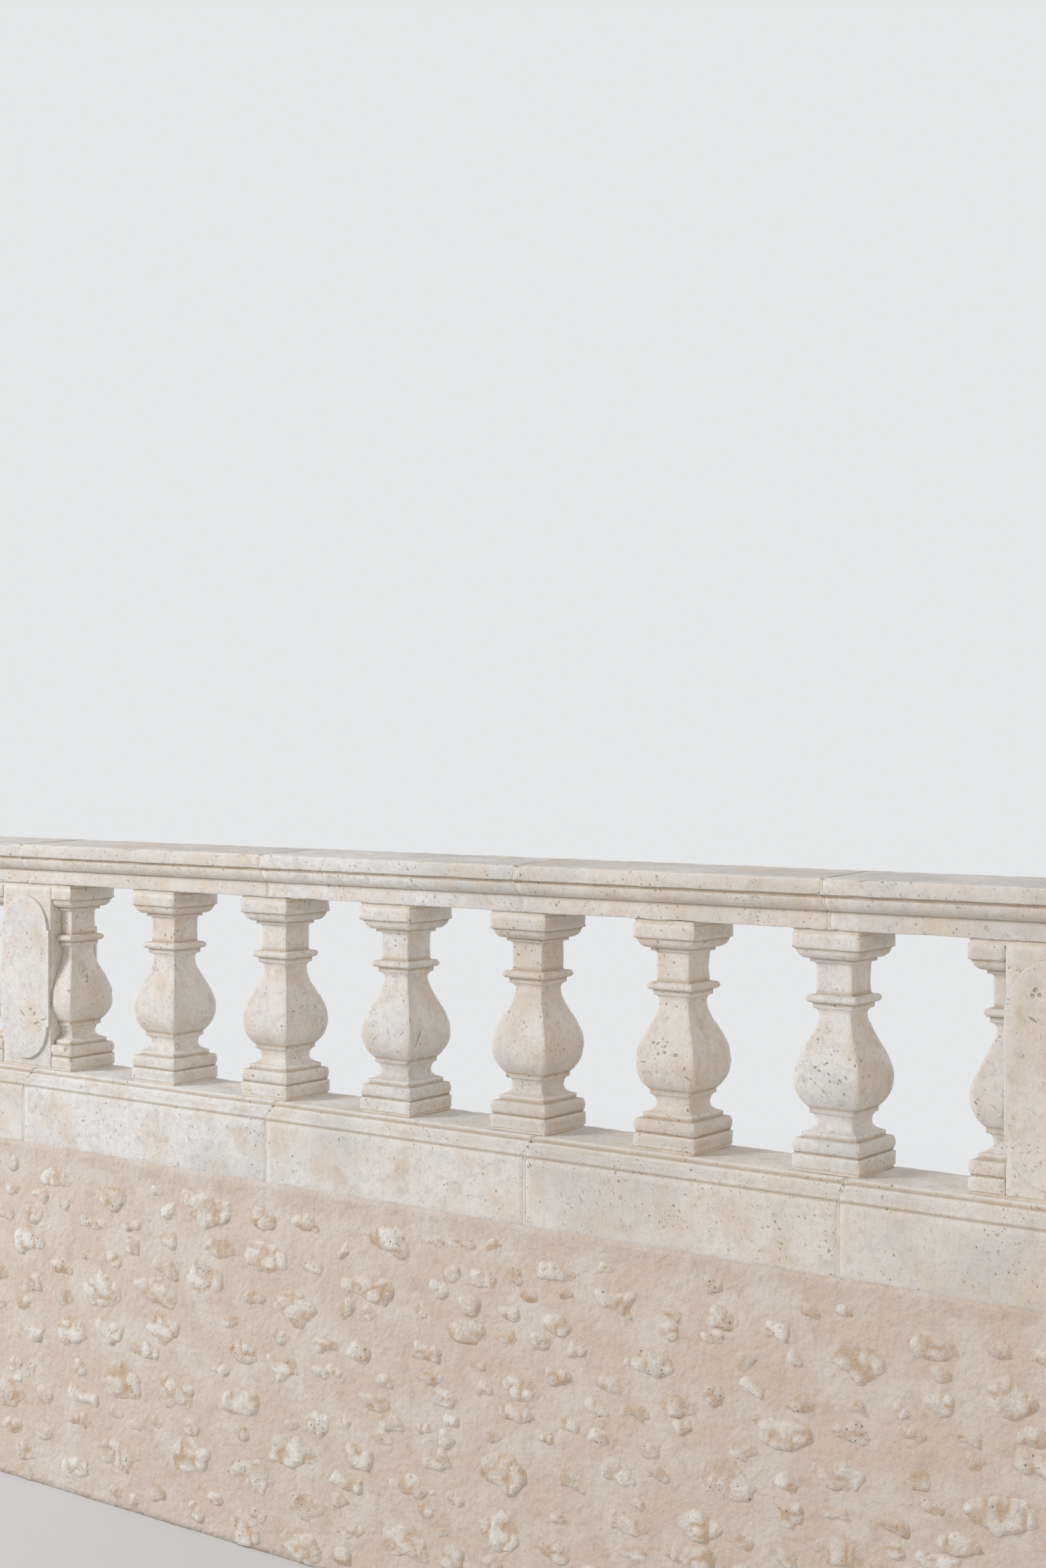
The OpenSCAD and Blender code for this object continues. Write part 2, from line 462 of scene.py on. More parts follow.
@dataclass(frozen=True)
class Weathering:
    """How far weather and handling have worn a stone, in metres of depth.

    The surface only ever moves inwards, so a worn stone stays inside its plain solid. An arris
    is worn to a bevel, whose width is given here.
    """

    set_back: float = 0.0
    waver: float = 1.6 * MM
    waver_size: float = 0.1
    dimple: float = 0.6 * MM
    dimple_size: float = 0.024
    chip: float = 11.0 * MM
    chip_size: float = 0.05
    chip_share: float = 0.18
    nibble: float = 2.8 * MM
    nibble_size: float = 0.02
    round_over: float = 1.3 * MM

    def worn(self, shell: Shell, seed: int) -> Shell:
        """Wears a shell.

        Args:
            shell: The plain stone.
            seed: The random seed of this stone's wear.

        Returns:
            The same shell, with its points moved inwards.
        """
        noise = Noise(seed)
        at = shell.points
        depth = self.set_back + self.waver * (0.5 + 0.5 * noise.at(at, self.waver_size))
        depth += self.dimple * (0.5 + 0.5 * noise.layered(at, self.dimple_size, 2))
        chips = np.clip(noise.layered(at + 3.1, self.chip_size) - self.chip_share, 0.0, None)
        nibbles = 0.5 + 0.5 * noise.at(at + 5.7, self.nibble_size)
        bevel = self.chip * chips / (1.0 - self.chip_share) + self.nibble * nibbles + self.round_over
        nearest = shell.nearest_arris(self.chip + self.nibble + self.round_over)
        bevel = np.minimum(bevel, shell.room)[nearest]
        towards_bevel = np.clip(bevel - shell.from_arris, 0.0, None) * math.sqrt(0.5)
        bevelled = shell.normals()[nearest] * towards_bevel[:, None]
        shell.points = at + shell.inwards(nearest) * depth[:, None] - bevelled
        return shell


@dataclass(frozen=True)
class Stack:
    """A stone as a stack of level rings, each a rectangle in plan with eased corners.

    The four limits are single numbers or one number a level. across and through are the
    numbers of stations along X and along Y between the eased corners.
    """

    levels: Levels
    low_x: np.ndarray | float
    high_x: np.ndarray | float
    low_y: np.ndarray | float
    high_y: np.ndarray | float
    across: int
    through: int
    ease: float = 2.0 * MM
    ledge_gap: float = 14.0 * MM

    def shell(self) -> Shell:
        """Builds the closed mesh.

        Returns:
            The stack's sides, foot and top.
        """
        count = len(self.levels.up)
        x0, x1, y0, y1 = (
            np.broadcast_to(limit, count).astype(float)[:, None]
            for limit in (self.low_x, self.high_x, self.low_y, self.high_y)
        )
        along_x = self._stations(x0, x1, self.across)
        along_y = self._stations(y0, y1, self.through)
        ring_x = np.concatenate(
            [along_x[:, :-1], np.repeat(x1, along_y.shape[1] - 1, 1), along_x[:, :0:-1],
             np.repeat(x0, along_y.shape[1] - 1, 1)], axis=1)
        ring_y = np.concatenate(
            [np.repeat(y0, along_x.shape[1] - 1, 1), along_y[:, :-1],
             np.repeat(y1, along_x.shape[1] - 1, 1), along_y[:, :0:-1]], axis=1)
        from_corner = np.hypot(
            np.minimum(ring_x - x0, x1 - ring_x), np.minimum(ring_y - y0, y1 - ring_y)
        )
        # The mitre across a ledge is no arris
        from_corner += self.ledge_gap * (1.0 - self.levels.steep[:, None]) ** 2
        ring = ring_x.shape[1]
        heights = np.repeat(self.levels.up[:, None], ring, 1)
        points = np.stack([ring_x, ring_y, heights], axis=2).reshape(-1, 3)
        from_arris = np.minimum(from_corner, self.levels.from_arris[:, None]).reshape(-1)
        sides = Shell(
            points,
            rings_to_faces(count, ring),
            from_arris,
            np.repeat(self.levels.hollow, ring),
            np.repeat(self.levels.room, ring),
        )
        size = count * ring
        for row, faces_up in ((0, False), (count - 1, True)):
            up = self.levels.up[row]
            inner, lid = self._lid(along_x[row], along_y[row], up, row * ring, size, faces_up)
            x, y = inner[:, 0], inner[:, 1]
            from_rim = np.min([x - x0[row], x1[row] - x, y - y0[row], y1[row] - y], axis=0)
            lid_from_arris = from_rim + self.levels.from_arris[row]
            sides.points = np.concatenate([sides.points, inner])
            sides.faces += lid
            sides.from_arris = np.concatenate([sides.from_arris, lid_from_arris])
            sides.hollow = np.concatenate([sides.hollow, np.zeros(len(inner))])
            sides.room = np.concatenate([sides.room, np.full(len(inner), self.levels.room[row])])
            size += len(inner)
        return sides

    def _stations(self, low: np.ndarray, high: np.ndarray, count: int) -> np.ndarray:
        """Spaces the stations of one side at every level, close together beside its corners.

        Args:
            low: The side's start at each level, as a column.
            high: Its end.
            count: The number of stations between the eased corners.

        Returns:
            The stations, one row a level.
        """
        inner = np.linspace(0.0, 1.0, count)[None, :]
        ease = np.minimum(self.ease, (high - low) / 6)
        between = low + ease + (high - low - 2 * ease) * inner
        return np.concatenate([low, between, high], axis=1)

    @staticmethod
    def _lid(
        along_x: np.ndarray,
        along_y: np.ndarray,
        up: float,
        ring_start: int,
        inner_start: int,
        faces_up: bool,
    ) -> tuple[np.ndarray, list[tuple[int, ...]]]:
        """Closes the stack's foot or top with a grid.

        Args:
            along_x: The stations along X.
            along_y: The stations along Y.
            up: The lid's height.
            ring_start: The index of the ring's first point.
            inner_start: The index that the first inner point will have.
            faces_up: True for the top.

        Returns:
            The inner points, and the lid's faces.
        """
        nx, ny = len(along_x) - 1, len(along_y) - 1
        grid_x, grid_y = np.meshgrid(along_x[1:-1], along_y[1:-1], indexing="ij")
        inner = np.stack([grid_x, grid_y, np.full_like(grid_x, up)], axis=2).reshape(-1, 3)
        grid = np.empty((nx + 1, ny + 1), int)
        grid[1:-1, 1:-1] = inner_start + np.arange(len(inner)).reshape(nx - 1, ny - 1)
        grid[:, 0] = ring_start + np.arange(nx + 1)
        grid[-1, 1:] = ring_start + nx + np.arange(1, ny + 1)
        grid[:-1, -1] = ring_start + 2 * nx + ny - np.arange(nx)
        grid[0, 1:-1] = ring_start + 2 * nx + 2 * ny - np.arange(1, ny)
        lid = grid_to_faces(grid)
        return inner, lid if faces_up else [face[::-1] for face in lid]


def rings_to_faces(rings: int, count: int) -> list[tuple[int, ...]]:
    """Joins rings of points, each with the next.

    Args:
        rings: How many rings there are.
        count: How many points each has, in the same order.

    Returns:
        The faces, which look outwards where the rings run anticlockwise from above.
    """
    return [
        (r * count + i, r * count + (i + 1) % count, (r + 1) * count + (i + 1) % count, (r + 1) * count + i)
        for r in range(rings - 1)
        for i in range(count)
    ]


def grid_to_faces(grid: np.ndarray) -> list[tuple[int, ...]]:
    """Joins the points of a grid.

    Args:
        grid: The points' indices.

    Returns:
        The faces, which look up where the grid's rows run along X and its columns along Y.
    """
    corners = [grid[:-1, :-1], grid[1:, :-1], grid[1:, 1:], grid[:-1, 1:]]
    return [tuple(face) for face in np.stack(corners, axis=2).reshape(-1, 4).tolist()]


# Finishes


class Kind(Enum):
    """The kinds of node that the finishes and the studio are made of."""

    PLACE = "ShaderNodeTexCoord"
    LAID = "ShaderNodeMapping"
    NOISE = "ShaderNodeTexNoise"
    CELLS = "ShaderNodeTexVoronoi"
    NOTE = "ShaderNodeAttribute"
    RANGE = "ShaderNodeMapRange"
    MATHS = "ShaderNodeMath"
    VECTOR = "ShaderNodeVectorMath"
    PARTS = "ShaderNodeSeparateColor"
    MIX = "ShaderNodeMix"
    BUMP = "ShaderNodeBump"
    SURFACE = "ShaderNodeBsdfPrincipled"
    RAY = "ShaderNodeLightPath"
    GLOW = "ShaderNodeEmission"
    SKY = "ShaderNodeBackground"
    EITHER = "ShaderNodeMixShader"
    MATERIAL = "ShaderNodeOutputMaterial"
    WORLD = "ShaderNodeOutputWorld"


Tree = bpy.types.NodeTree
Socket = bpy.types.NodeSocket


def linear(colour: str) -> tuple[float, float, float, float]:
    """Turns an sRGB hex colour to linear light.

    Args:
        colour: Such as "#e6dfd2".

    Returns:
        Red, green, blue and an alpha of 1.
    """
    parts = [int(colour[i : i + 2], 16) / 255 for i in (1, 3, 5)]
    red, green, blue = (c / 12.92 if c <= 0.04045 else ((c + 0.055) / 1.055) ** 2.4 for c in parts)
    return (red, green, blue, 1.0)


def add_node(
    tree: Tree, kind: Kind, inputs: dict[str | int, Any] | None = None, **settings: Any
) -> bpy.types.Node:
    """Adds a node with its settings and links.

    Args:
        tree: The material's node tree.
        kind: The node's type.
        inputs: A value, or an output socket to link from, for each input by name or number.
        settings: The node's own properties.

    Returns:
        The node.
    """
    node = tree.nodes.new(kind.value)
    for name, value in settings.items():
        setattr(node, name, value)
    for name, value in (inputs or {}).items():
        if isinstance(value, Socket):
            tree.links.new(value, node.inputs[name])
        else:
            node.inputs[name].default_value = value
    return node


def new_tree(name: str) -> tuple[bpy.types.Material, Tree]:
    """Makes an empty node material.

    Args:
        name: The material's name.

    Returns:
        The material and its node tree.
    """
    material = bpy.data.materials.new(name)
    material.use_nodes = True
    material.node_tree.nodes.clear()
    return material, material.node_tree


@dataclass(frozen=True)
class Patches:
    """Soft-edged patches, at the real size of one patch.

    The noise that gives 0 is mostly 0.3 or more, and the noise that gives the most 0.7 or
    less. detail is how many finer layers the noise has, and rough how strong these are.
    """

    size: float
    none_at: float = 0.0
    most_at: float = 1.0
    most: float = 1.0
    detail: float = 2.0
    rough: float = 0.5

    def drawn(self, tree: Tree, place: Socket) -> Socket:
        """Draws the patches.

        Args:
            tree: The material's node tree.
            place: The coordinates, in metres.

        Returns:
            A socket that is 0 between the patches.
        """
        inputs = {"Vector": place, "Scale": 1 / self.size, "Detail": self.detail, "Roughness": self.rough}
        noise = add_node(tree, Kind.NOISE, inputs).outputs["Fac"]
        limits = {"Value": noise, "From Min": self.none_at, "From Max": self.most_at, "To Max": self.most}
        return add_node(tree, Kind.RANGE, limits, interpolation_type="SMOOTHSTEP").outputs["Result"]


@dataclass(frozen=True)
class Holes:
    """Holes in some of the cells of a cell pattern, whose middles are a spacing apart.

    The widest hole has the radius given, and its rim slopes in over a part of it, soft.
    """

    LEAST = 0.25
    LUCK_FOR_WIDEST = 0.3

    spacing: float
    radius: float
    soft: float = 0.6

    def drawn(self, tree: Tree, place: Socket, crowd: Socket | float) -> Socket:
        """Draws the holes.

        Args:
            tree: The material's node tree.
            place: The coordinates, bent so that the holes are ragged.
            crowd: The share of cells that have a hole, from 0 to 1.

        Returns:
            A socket that is 1 in a hole and 0 outside.
        """
        cells = add_node(tree, Kind.CELLS, {"Vector": place, "Scale": 1 / self.spacing})
        pick = add_node(tree, Kind.PARTS, {"Color": cells.outputs["Color"]}).outputs["Red"]
        luck = add_node(tree, Kind.MATHS, {0: crowd, 1: pick}, operation="SUBTRACT").outputs[0]
        widest = self.radius / self.spacing
        sizes = {"From Max": self.LUCK_FOR_WIDEST, "To Min": self.LEAST * widest, "To Max": widest}
        size = add_node(tree, Kind.RANGE, {"Value": luck} | sizes).outputs["Result"]
        chosen = add_node(tree, Kind.MATHS, {0: luck, 1: 0.0}, operation="GREATER_THAN").outputs[0]
        from_rim = {0: size, 1: cells.outputs["Distance"]}
        inside = add_node(tree, Kind.MATHS, from_rim, operation="SUBTRACT").outputs[0]
        slope = {"Value": inside, "From Max": self.soft * widest}
        rim = add_node(tree, Kind.RANGE, slope, interpolation_type="SMOOTHSTEP").outputs["Result"]
        return add_node(tree, Kind.MATHS, {0: rim, 1: chosen}, operation="MULTIPLY").outputs[0]


@dataclass(frozen=True)
class Bend:
    """How far coordinates are bent, so that what is drawn with them is ragged.

    The bend changes over its size, and it moves a point by up to its reach.
    """

    size: float
    reach: float

    def of(self, tree: Tree, place: Socket) -> Socket:
        """Bends coordinates.

        Args:
            tree: The material's node tree.
            place: The coordinates, in metres.

        Returns:
            The bent coordinates.
        """
        noise = add_node(tree, Kind.NOISE, {"Vector": place, "Scale": 1 / self.size, "Detail": 1.0})
        inputs = {0: noise.outputs["Color"], 1: (self.reach,) * 3, 2: place}
        return add_node(tree, Kind.VECTOR, inputs, operation="MULTIPLY_ADD").outputs[0]


def painted(tree: Tree, base: str | Socket, coats: Iterable[tuple[Socket, float, str]]) -> Socket:
    """Lays colours over one another.

    Args:
        tree: The material's node tree.
        base: The colour below, as sRGB hex or as a socket.
        coats: For each coat where it lies, from 0 to 1, how well it covers, and its colour.

    Returns:
        The colour socket.
    """
    # A mix node's two colours are its inputs 6 and 7, and the mixed one is its output 2
    colour: Any = linear(base) if isinstance(base, str) else base
    for lies, covers, over in coats:
        amount = add_node(tree, Kind.MATHS, {0: lies, 1: covers}, operation="MULTIPLY").outputs[0]
        mix = add_node(tree, Kind.MIX, {"Factor": amount, 6: colour, 7: linear(over)}, data_type="RGBA")
        colour = mix.outputs[2]
    return colour


def relief(tree: Tree, heights: Iterable[tuple[Socket, float]]) -> Socket:
    """Raises the surface by heights laid over one another.

    Args:
        tree: The material's node tree.
        heights: Sockets from 0 to 1, each with what 1 stands for, below 0 where it sinks.

    Returns:
        The normal socket.
    """
    inputs: dict[str | int, Any] = {"Strength": 1.0}
    for height, distance in heights:
        inputs |= {"Height": height, "Distance": abs(distance)}
        inputs["Normal"] = add_node(tree, Kind.BUMP, inputs, invert=distance < 0).outputs["Normal"]
    return inputs["Normal"]


def noted(tree: Tree, labels: tuple[str, ...]) -> tuple[Socket, ...]:
    """Reads what a shell notes at its points.

    Args:
        tree: The material's node tree.
        labels: The names of the shell's attributes.

    Returns:
        One socket a label.
    """
    notes = [add_node(tree, Kind.NOTE, attribute_name=label) for label in labels]
    return tuple(note.outputs["Fac"] for note in notes)


@dataclass(frozen=True)
class Scar:
    """A dent or scratch that one knock left in a stone, as it is seen on the face.

    It is so many millimetres along from the stone's middle line, up from its foot, long and
    wide, and so many behind the face of the plain solid. It leans up to the right, in degrees.
    It is on the front, or on the end that looks along the run. A knock that bruised the stone
    without breaking it is pale.
    """

    REACH = 20 * MM
    NONE_AT = 1.25
    FULL_AT = 0.65

    along: float
    up: float
    long: float
    wide: float
    lean: float = 0.0
    behind: float = 0.0
    on_end: bool = False
    pale: bool = False

    def drawn(self, tree: Tree, place: Socket, node: str) -> Socket:
        """Draws the scar.

        Args:
            tree: The material's node tree.
            place: The coordinates, in metres.
            node: The plain solid that the stone stands for.

        Returns:
            A socket that is 1 in the scar's middle and 0 outside it.
        """
        low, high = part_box(node)
        up, lean = low.z + self.up * MM, math.radians(self.lean)
        half_long, half_wide = self.long * MM / 2, self.wide * MM / 2
        if self.on_end:
            at = (high.x - self.behind * MM, (low.y + high.y) / 2 + self.along * MM, up)
            turn, size = (lean, 0.0, 0.0), (self.REACH, half_long, half_wide)
        else:
            at = ((low.x + high.x) / 2 + self.along * MM, low.y + self.behind * MM, up)
            turn, size = (0.0, -lean, 0.0), (half_long, self.REACH, half_wide)
        laid = {"Vector": place, "Location": at, "Rotation": turn, "Scale": size}
        own_place = add_node(tree, Kind.LAID, laid, vector_type="TEXTURE").outputs[0]
        away = add_node(tree, Kind.VECTOR, {0: own_place}, operation="LENGTH").outputs["Value"]
        limits = {"Value": away, "From Min": self.NONE_AT, "From Max": self.FULL_AT}
        return add_node(tree, Kind.RANGE, limits, interpolation_type="SMOOTHSTEP").outputs["Result"]


# The scars that show on single stones, by the node that the stone stands for
SCARS = {
    "pier_middle": (
        Scar(along=-6, up=176, long=36, wide=4, lean=-40),
        Scar(along=36, up=192, long=14, wide=9, lean=-15),
        Scar(along=55, up=179, long=20, wide=8, lean=50),
        Scar(along=64, up=147, long=28, wide=6, lean=22),
        Scar(along=103, up=162, long=30, wide=4, lean=12),
        Scar(along=-107, up=480, long=13, wide=7, lean=25),
        Scar(along=-85, up=442, long=48, wide=4, lean=12, pale=True),
        Scar(along=-35, up=446, long=50, wide=4, lean=-7, pale=True),
        Scar(along=14, up=436, long=52, wide=3, lean=-26, pale=True),
    ),
    "half_baluster_3": (
        Scar(along=-6, up=309, long=25, wide=14, lean=75, behind=9, on_end=True),
        Scar(along=-12, up=292, long=15, wide=6, lean=30, behind=9, on_end=True),
        Scar(along=27, up=67, long=20, wide=13, lean=60, behind=1),
        Scar(along=36, up=265, long=12, wide=9, behind=11),
    ),
    "baluster_right_2": (
        Scar(along=-42, up=59, long=11, wide=8),
    ),
    "baluster_right_3": (
        Scar(along=-56, up=224, long=60, wide=7, lean=65, behind=11, on_end=True),
        Scar(along=41, up=104, long=15, wide=4, lean=80, behind=46, on_end=True),
    ),
    "baluster_right_5": (
        Scar(along=-39, up=287, long=9, wide=7, behind=6),
        Scar(along=-24, up=285, long=13, wide=5, lean=40, behind=6),
        Scar(along=1, up=279, long=9, wide=7, behind=4),
        Scar(along=-17, up=258, long=9, wide=8, behind=3),
        Scar(along=3, up=263, long=11, wide=7, lean=30, behind=3),
        Scar(along=39, up=259, long=14, wide=8, lean=15, behind=3),
        Scar(along=-66, up=233, long=20, wide=4, lean=3, behind=3),
        Scar(along=68, up=224, long=11, wide=5, lean=80, behind=4),
        Scar(along=76, up=198, long=22, wide=3, lean=-35, behind=4),
    ),
    "baluster_right_6": (
        Scar(along=24, up=320, long=16, wide=4, lean=-35, behind=5),
        Scar(along=16, up=308, long=9, wide=6, lean=-20, behind=4),
        Scar(along=66, up=293, long=9, wide=7, lean=60, behind=3),
        Scar(along=0, up=277, long=15, wide=4, lean=30, behind=3),
        Scar(along=-31, up=264, long=10, wide=5, lean=20, behind=3),
        Scar(along=10, up=251, long=9, wide=4, lean=-45, behind=3),
    ),
    "pier_right": (
        Scar(along=-40, up=508, long=14, wide=10, lean=30),
        Scar(along=-48, up=494, long=12, wide=8, lean=-30),
        Scar(along=-29, up=497, long=10, wide=9),
        Scar(along=-46, up=436, long=24, wide=6, lean=-35),
    ),
}


def deepest(tree: Tree, place: Socket, node: str, scars: list[Scar]) -> Socket:
    """Draws scars, so that the deepest counts where they cross.

    Args:
        tree: The material's node tree.
        place: The coordinates, in metres.
        node: The plain solid that the stone stands for.
        scars: What to draw, at least one.

    Returns:
        A socket that is 1 in the middle of each scar and 0 outside them.
    """
    joined = scars[0].drawn(tree, place, node)
    for scar in scars[1:]:
        both = {0: joined, 1: scar.drawn(tree, place, node)}
        joined = add_node(tree, Kind.MATHS, both, operation="MAXIMUM").outputs[0]
    return joined


@dataclass(frozen=True)
class Limestone:
    """Soft pale building limestone, sawn, carved and rubbed, then weathered outdoors.

    It is matt and chalky, cream to grey in clouds, with the small oval holes that shells
    left, fine slanting flaws, a few shallow pocks, brown weather stains and a rubbed tooth.
    Its hollows are darkened with grime and painted shade, and its arrises are lightened with newly exposed
    stone and a painted highlight. A node is named where a stone has scars of its own.
    """

    node: str = ""
    pale: str = "#ebe8e3"
    warm: str = "#dccbb7"
    grey: str = "#c7c6c3"
    stain: str = "#b9a891"
    streak: str = "#d5c8b8"
    hole: str = "#8c7152"
    # Grime in the flaws and pocks, and grime with painted shade in the hollows
    dirt_and_shade: str = "#a99171"
    # Newly exposed stone on bruises and worn arrises, and a painted highlight along the arrises
    fresh_and_highlight: str = "#f5f1ea"
    mottle: Patches = Patches(0.4, 0.45, 0.68, detail=4.0)
    clouds: Patches = Patches(0.13, 0.44, 0.7, detail=5.0, rough=0.62)
    blotches: Patches = Patches(30 * MM, 0.48, 0.66, detail=4.0, rough=0.65)
    flecks: Patches = Patches(13 * MM, 0.5, 0.68, detail=3.0, rough=0.6)
    stains: Patches = Patches(0.11, 0.54, 0.74, detail=5.0, rough=0.65)
    streaks: Patches = Patches(1.0, 0.5, 0.75)
    streak_size: tuple[float, float, float] = (80 * MM, 80 * MM, 0.5)
    waver: Bend = Bend(50 * MM, 20 * MM)
    fray: Bend = Bend(7 * MM, 3.5 * MM)
    slant: tuple[float, float, float] = (0.4, 0.75, 0.3)
    shells_in: Patches = Patches(0.15, 0.42, 0.7, 0.85)
    shells: Holes = Holes(17 * MM, 3.7 * MM)
    shell_shape: tuple[float, float, float] = (1.8, 1.0, 1.0)
    specks_in: Patches = Patches(0.08, 0.4, 0.75, 0.8)
    specks: Holes = Holes(9 * MM, 2.2 * MM)
    flaws_in: Patches = Patches(60 * MM, 0.38, 0.6, 0.85)
    flaws: Holes = Holes(9 * MM, 2.5 * MM, 0.9)
    flaw_shape: tuple[float, float, float] = (3.6, 1.0, 1.0)
    flaw_bend: Bend = Bend(90 * MM, 63 * MM)
    pocks: Holes = Holes(60 * MM, 8 * MM, 0.8)
    pocked: float = 0.5
    rubbing: Patches = Patches(34 * MM, detail=3.0, rough=0.6)
    tooth: Patches = Patches(9 * MM, detail=3.0, rough=0.65)
    # Real grains are under a millimetre, too fine to show, so they are drawn at two
    grain: Patches = Patches(2 * MM)

    def material(self) -> bpy.types.Material:
        """Builds the node material.

        Returns:
            The material.
        """
        name = f"rubbed_limestone_{self.node}" if self.node else "rubbed_limestone"
        material, tree = new_tree(name)
        place = add_node(tree, Kind.PLACE).outputs["Object"]
        ragged = self.fray.of(tree, self.waver.of(tree, place))
        laid = {"Vector": ragged, "Rotation": self.slant, "Scale": self.shell_shape}
        oval = add_node(tree, Kind.LAID, laid, vector_type="TEXTURE").outputs[0]
        laid |= {"Vector": self.flaw_bend.of(tree, ragged), "Scale": self.flaw_shape}
        drawn_out = add_node(tree, Kind.LAID, laid, vector_type="TEXTURE").outputs[0]
        shells = self.shells.drawn(tree, oval, self.shells_in.drawn(tree, place))
        specks = self.specks.drawn(tree, oval, self.specks_in.drawn(tree, place))
        holes = add_node(tree, Kind.MATHS, {0: shells, 1: specks}, operation="MAXIMUM").outputs[0]
        flaws = self.flaws.drawn(tree, drawn_out, self.flaws_in.drawn(tree, place))
        pocks = self.pocks.drawn(tree, oval, self.pocked)
        heights = [
            (self.rubbing.drawn(tree, place), 3.0 * MM),
            (self.tooth.drawn(tree, place), 1.1 * MM),
            (self.grain.drawn(tree, place), 0.4 * MM),
            (pocks, -2.0 * MM),
            (flaws, -1.0 * MM),
            (holes, -1.8 * MM),
        ]
        coats = []
        kinds = ((False, -2.5 * MM, 0.48, self.hole), (True, -0.6 * MM, 0.6, self.fresh_and_highlight))
        for pale, depth, covers, colour in kinds:
            scars = [scar for scar in SCARS.get(self.node, ()) if scar.pale == pale]
            if scars:
                scarred = deepest(tree, self.fray.of(tree, place), self.node, scars)
                heights.append((scarred, depth))
                coats.append((scarred, covers, colour))
        shader = add_node(tree, Kind.SURFACE, {
            "Base Color": painted(tree, self._colour(tree, place, holes, flaws, pocks), coats),
            "Roughness": 0.88,
            "IOR": 1.45,
            "Specular IOR Level": 0.3,
            "Normal": relief(tree, heights),
        })
        add_node(tree, Kind.MATERIAL, {"Surface": shader.outputs["BSDF"]})
        return material

    def _colour(self, tree: Tree, place: Socket, holes: Socket, flaws: Socket, pocks: Socket) -> Socket:
        """Mixes the stone's colours.

        Args:
            tree: The material's node tree.
            place: The stone's coordinates.
            holes: A socket that is 1 in the holes and specks.
            flaws: A socket that is 1 in the fine flaws.
            pocks: A socket that is 1 in the shallow pocks.

        Returns:
            The colour socket.
        """
        drawn_down = {"Vector": place, "Scale": self.streak_size}
        upright = add_node(tree, Kind.LAID, drawn_down, vector_type="TEXTURE").outputs[0]
        tone, arris, hollow = noted(tree, ("tone", "arris", "hollow"))
        return painted(tree, self.pale, (
            (self.mottle.drawn(tree, place), 0.6, self.grey),
            (self.clouds.drawn(tree, place), 0.65, self.warm),
            (self.blotches.drawn(tree, place), 0.45, self.grey),
            (self.flecks.drawn(tree, place), 0.2, self.stain),
            (self.stains.drawn(tree, place), 0.4, self.stain),
            (self.streaks.drawn(tree, upright), 0.3, self.streak),
            (tone, 1.0, self.warm),
            # A painted highlight along the arrises, with newly exposed stone where they are worn
            (arris, 0.4, self.fresh_and_highlight),
            # Painted shade in the hollows of the mouldings, with grime
            (hollow, 0.5, self.dirt_and_shade),
            (pocks, 0.3, self.dirt_and_shade),
            (flaws, 0.65, self.dirt_and_shade),
            (holes, 0.62, self.hole),
        ))


@dataclass(frozen=True)
class LimeMortar:
    """Sandy lime mortar, laid on with a trowel and brushed down before it set.

    It is matt, pinker and a little darker than the stone. The trowel left soft dabs in it, the
    brush fine slanting scratches, and its sand shows.
    """

    name: str = "sandy_lime_mortar"
    paste: str = "#e0d6c9"
    sand: str = "#c9baa7"
    slurry: str = "#e8e0d5"
    patches: Patches = Patches(70 * MM, 0.42, 0.66, detail=4.0)
    sanded: Patches = Patches(28 * MM, 0.52, 0.72, detail=4.0)
    dabs: Patches = Patches(28 * MM, detail=1.0)
    dab_height: float = 2.0 * MM
    # Sharp sand is mostly under a millimetre, too fine to show, so its grains are drawn coarser
    grit: Patches = Patches(2.4 * MM, 0.5, 0.75, rough=0.7)
    grit_height: float = 0.3 * MM
    scratches: Patches = Patches(1.0, detail=1.0)
    scratch_size: tuple[float, float, float] = (45 * MM, 45 * MM, 5 * MM)
    scratch_height: float = 0.6 * MM
    waver: Bend = Bend(60 * MM, 16 * MM)
    slant: float = 33.0

    def material(self) -> bpy.types.Material:
        """Builds the node material.

        Returns:
            The material.
        """
        material, tree = new_tree(self.name)
        place = add_node(tree, Kind.PLACE).outputs["Object"]
        brushed = add_node(tree, Kind.LAID, {
            "Vector": self.waver.of(tree, place),
            "Rotation": (0.0, -math.radians(self.slant), 0.0),
            "Scale": self.scratch_size,
        }, vector_type="TEXTURE").outputs[0]
        scratches = self.scratches.drawn(tree, brushed)
        dabs = self.dabs.drawn(tree, place)
        grit = self.grit.drawn(tree, place)
        shader = add_node(tree, Kind.SURFACE, {
            "Base Color": painted(tree, self.paste, (
                (self.patches.drawn(tree, place), 0.9, self.slurry),
                (self.sanded.drawn(tree, place), 0.4, self.sand),
                (grit, 0.4, self.sand),
            )),
            "Roughness": 0.95,
            "IOR": 1.45,
            "Specular IOR Level": 0.2,
            "Normal": relief(tree, (
                (dabs, self.dab_height), (scratches, self.scratch_height), (grit, self.grit_height)
            )),
        })
        add_node(tree, Kind.MATERIAL, {"Surface": shader.outputs["BSDF"]})
        return material


# The pointing of the wall is laid on thicker and rougher than the mortar between the stones
POINTING = LimeMortar(
    name="full_lime_pointing",
    paste="#d9cabd",
    sand="#c5b3a1",
    slurry="#e0d7cd",
    patches=Patches(0.16, 0.42, 0.66, detail=4.0),
    sanded=Patches(64 * MM, 0.52, 0.72, detail=4.0),
    dabs=Patches(24 * MM, detail=1.0),
    dab_height=4.8 * MM,
    scratch_height=0.7 * MM,
    grit_height=0.45 * MM,
)


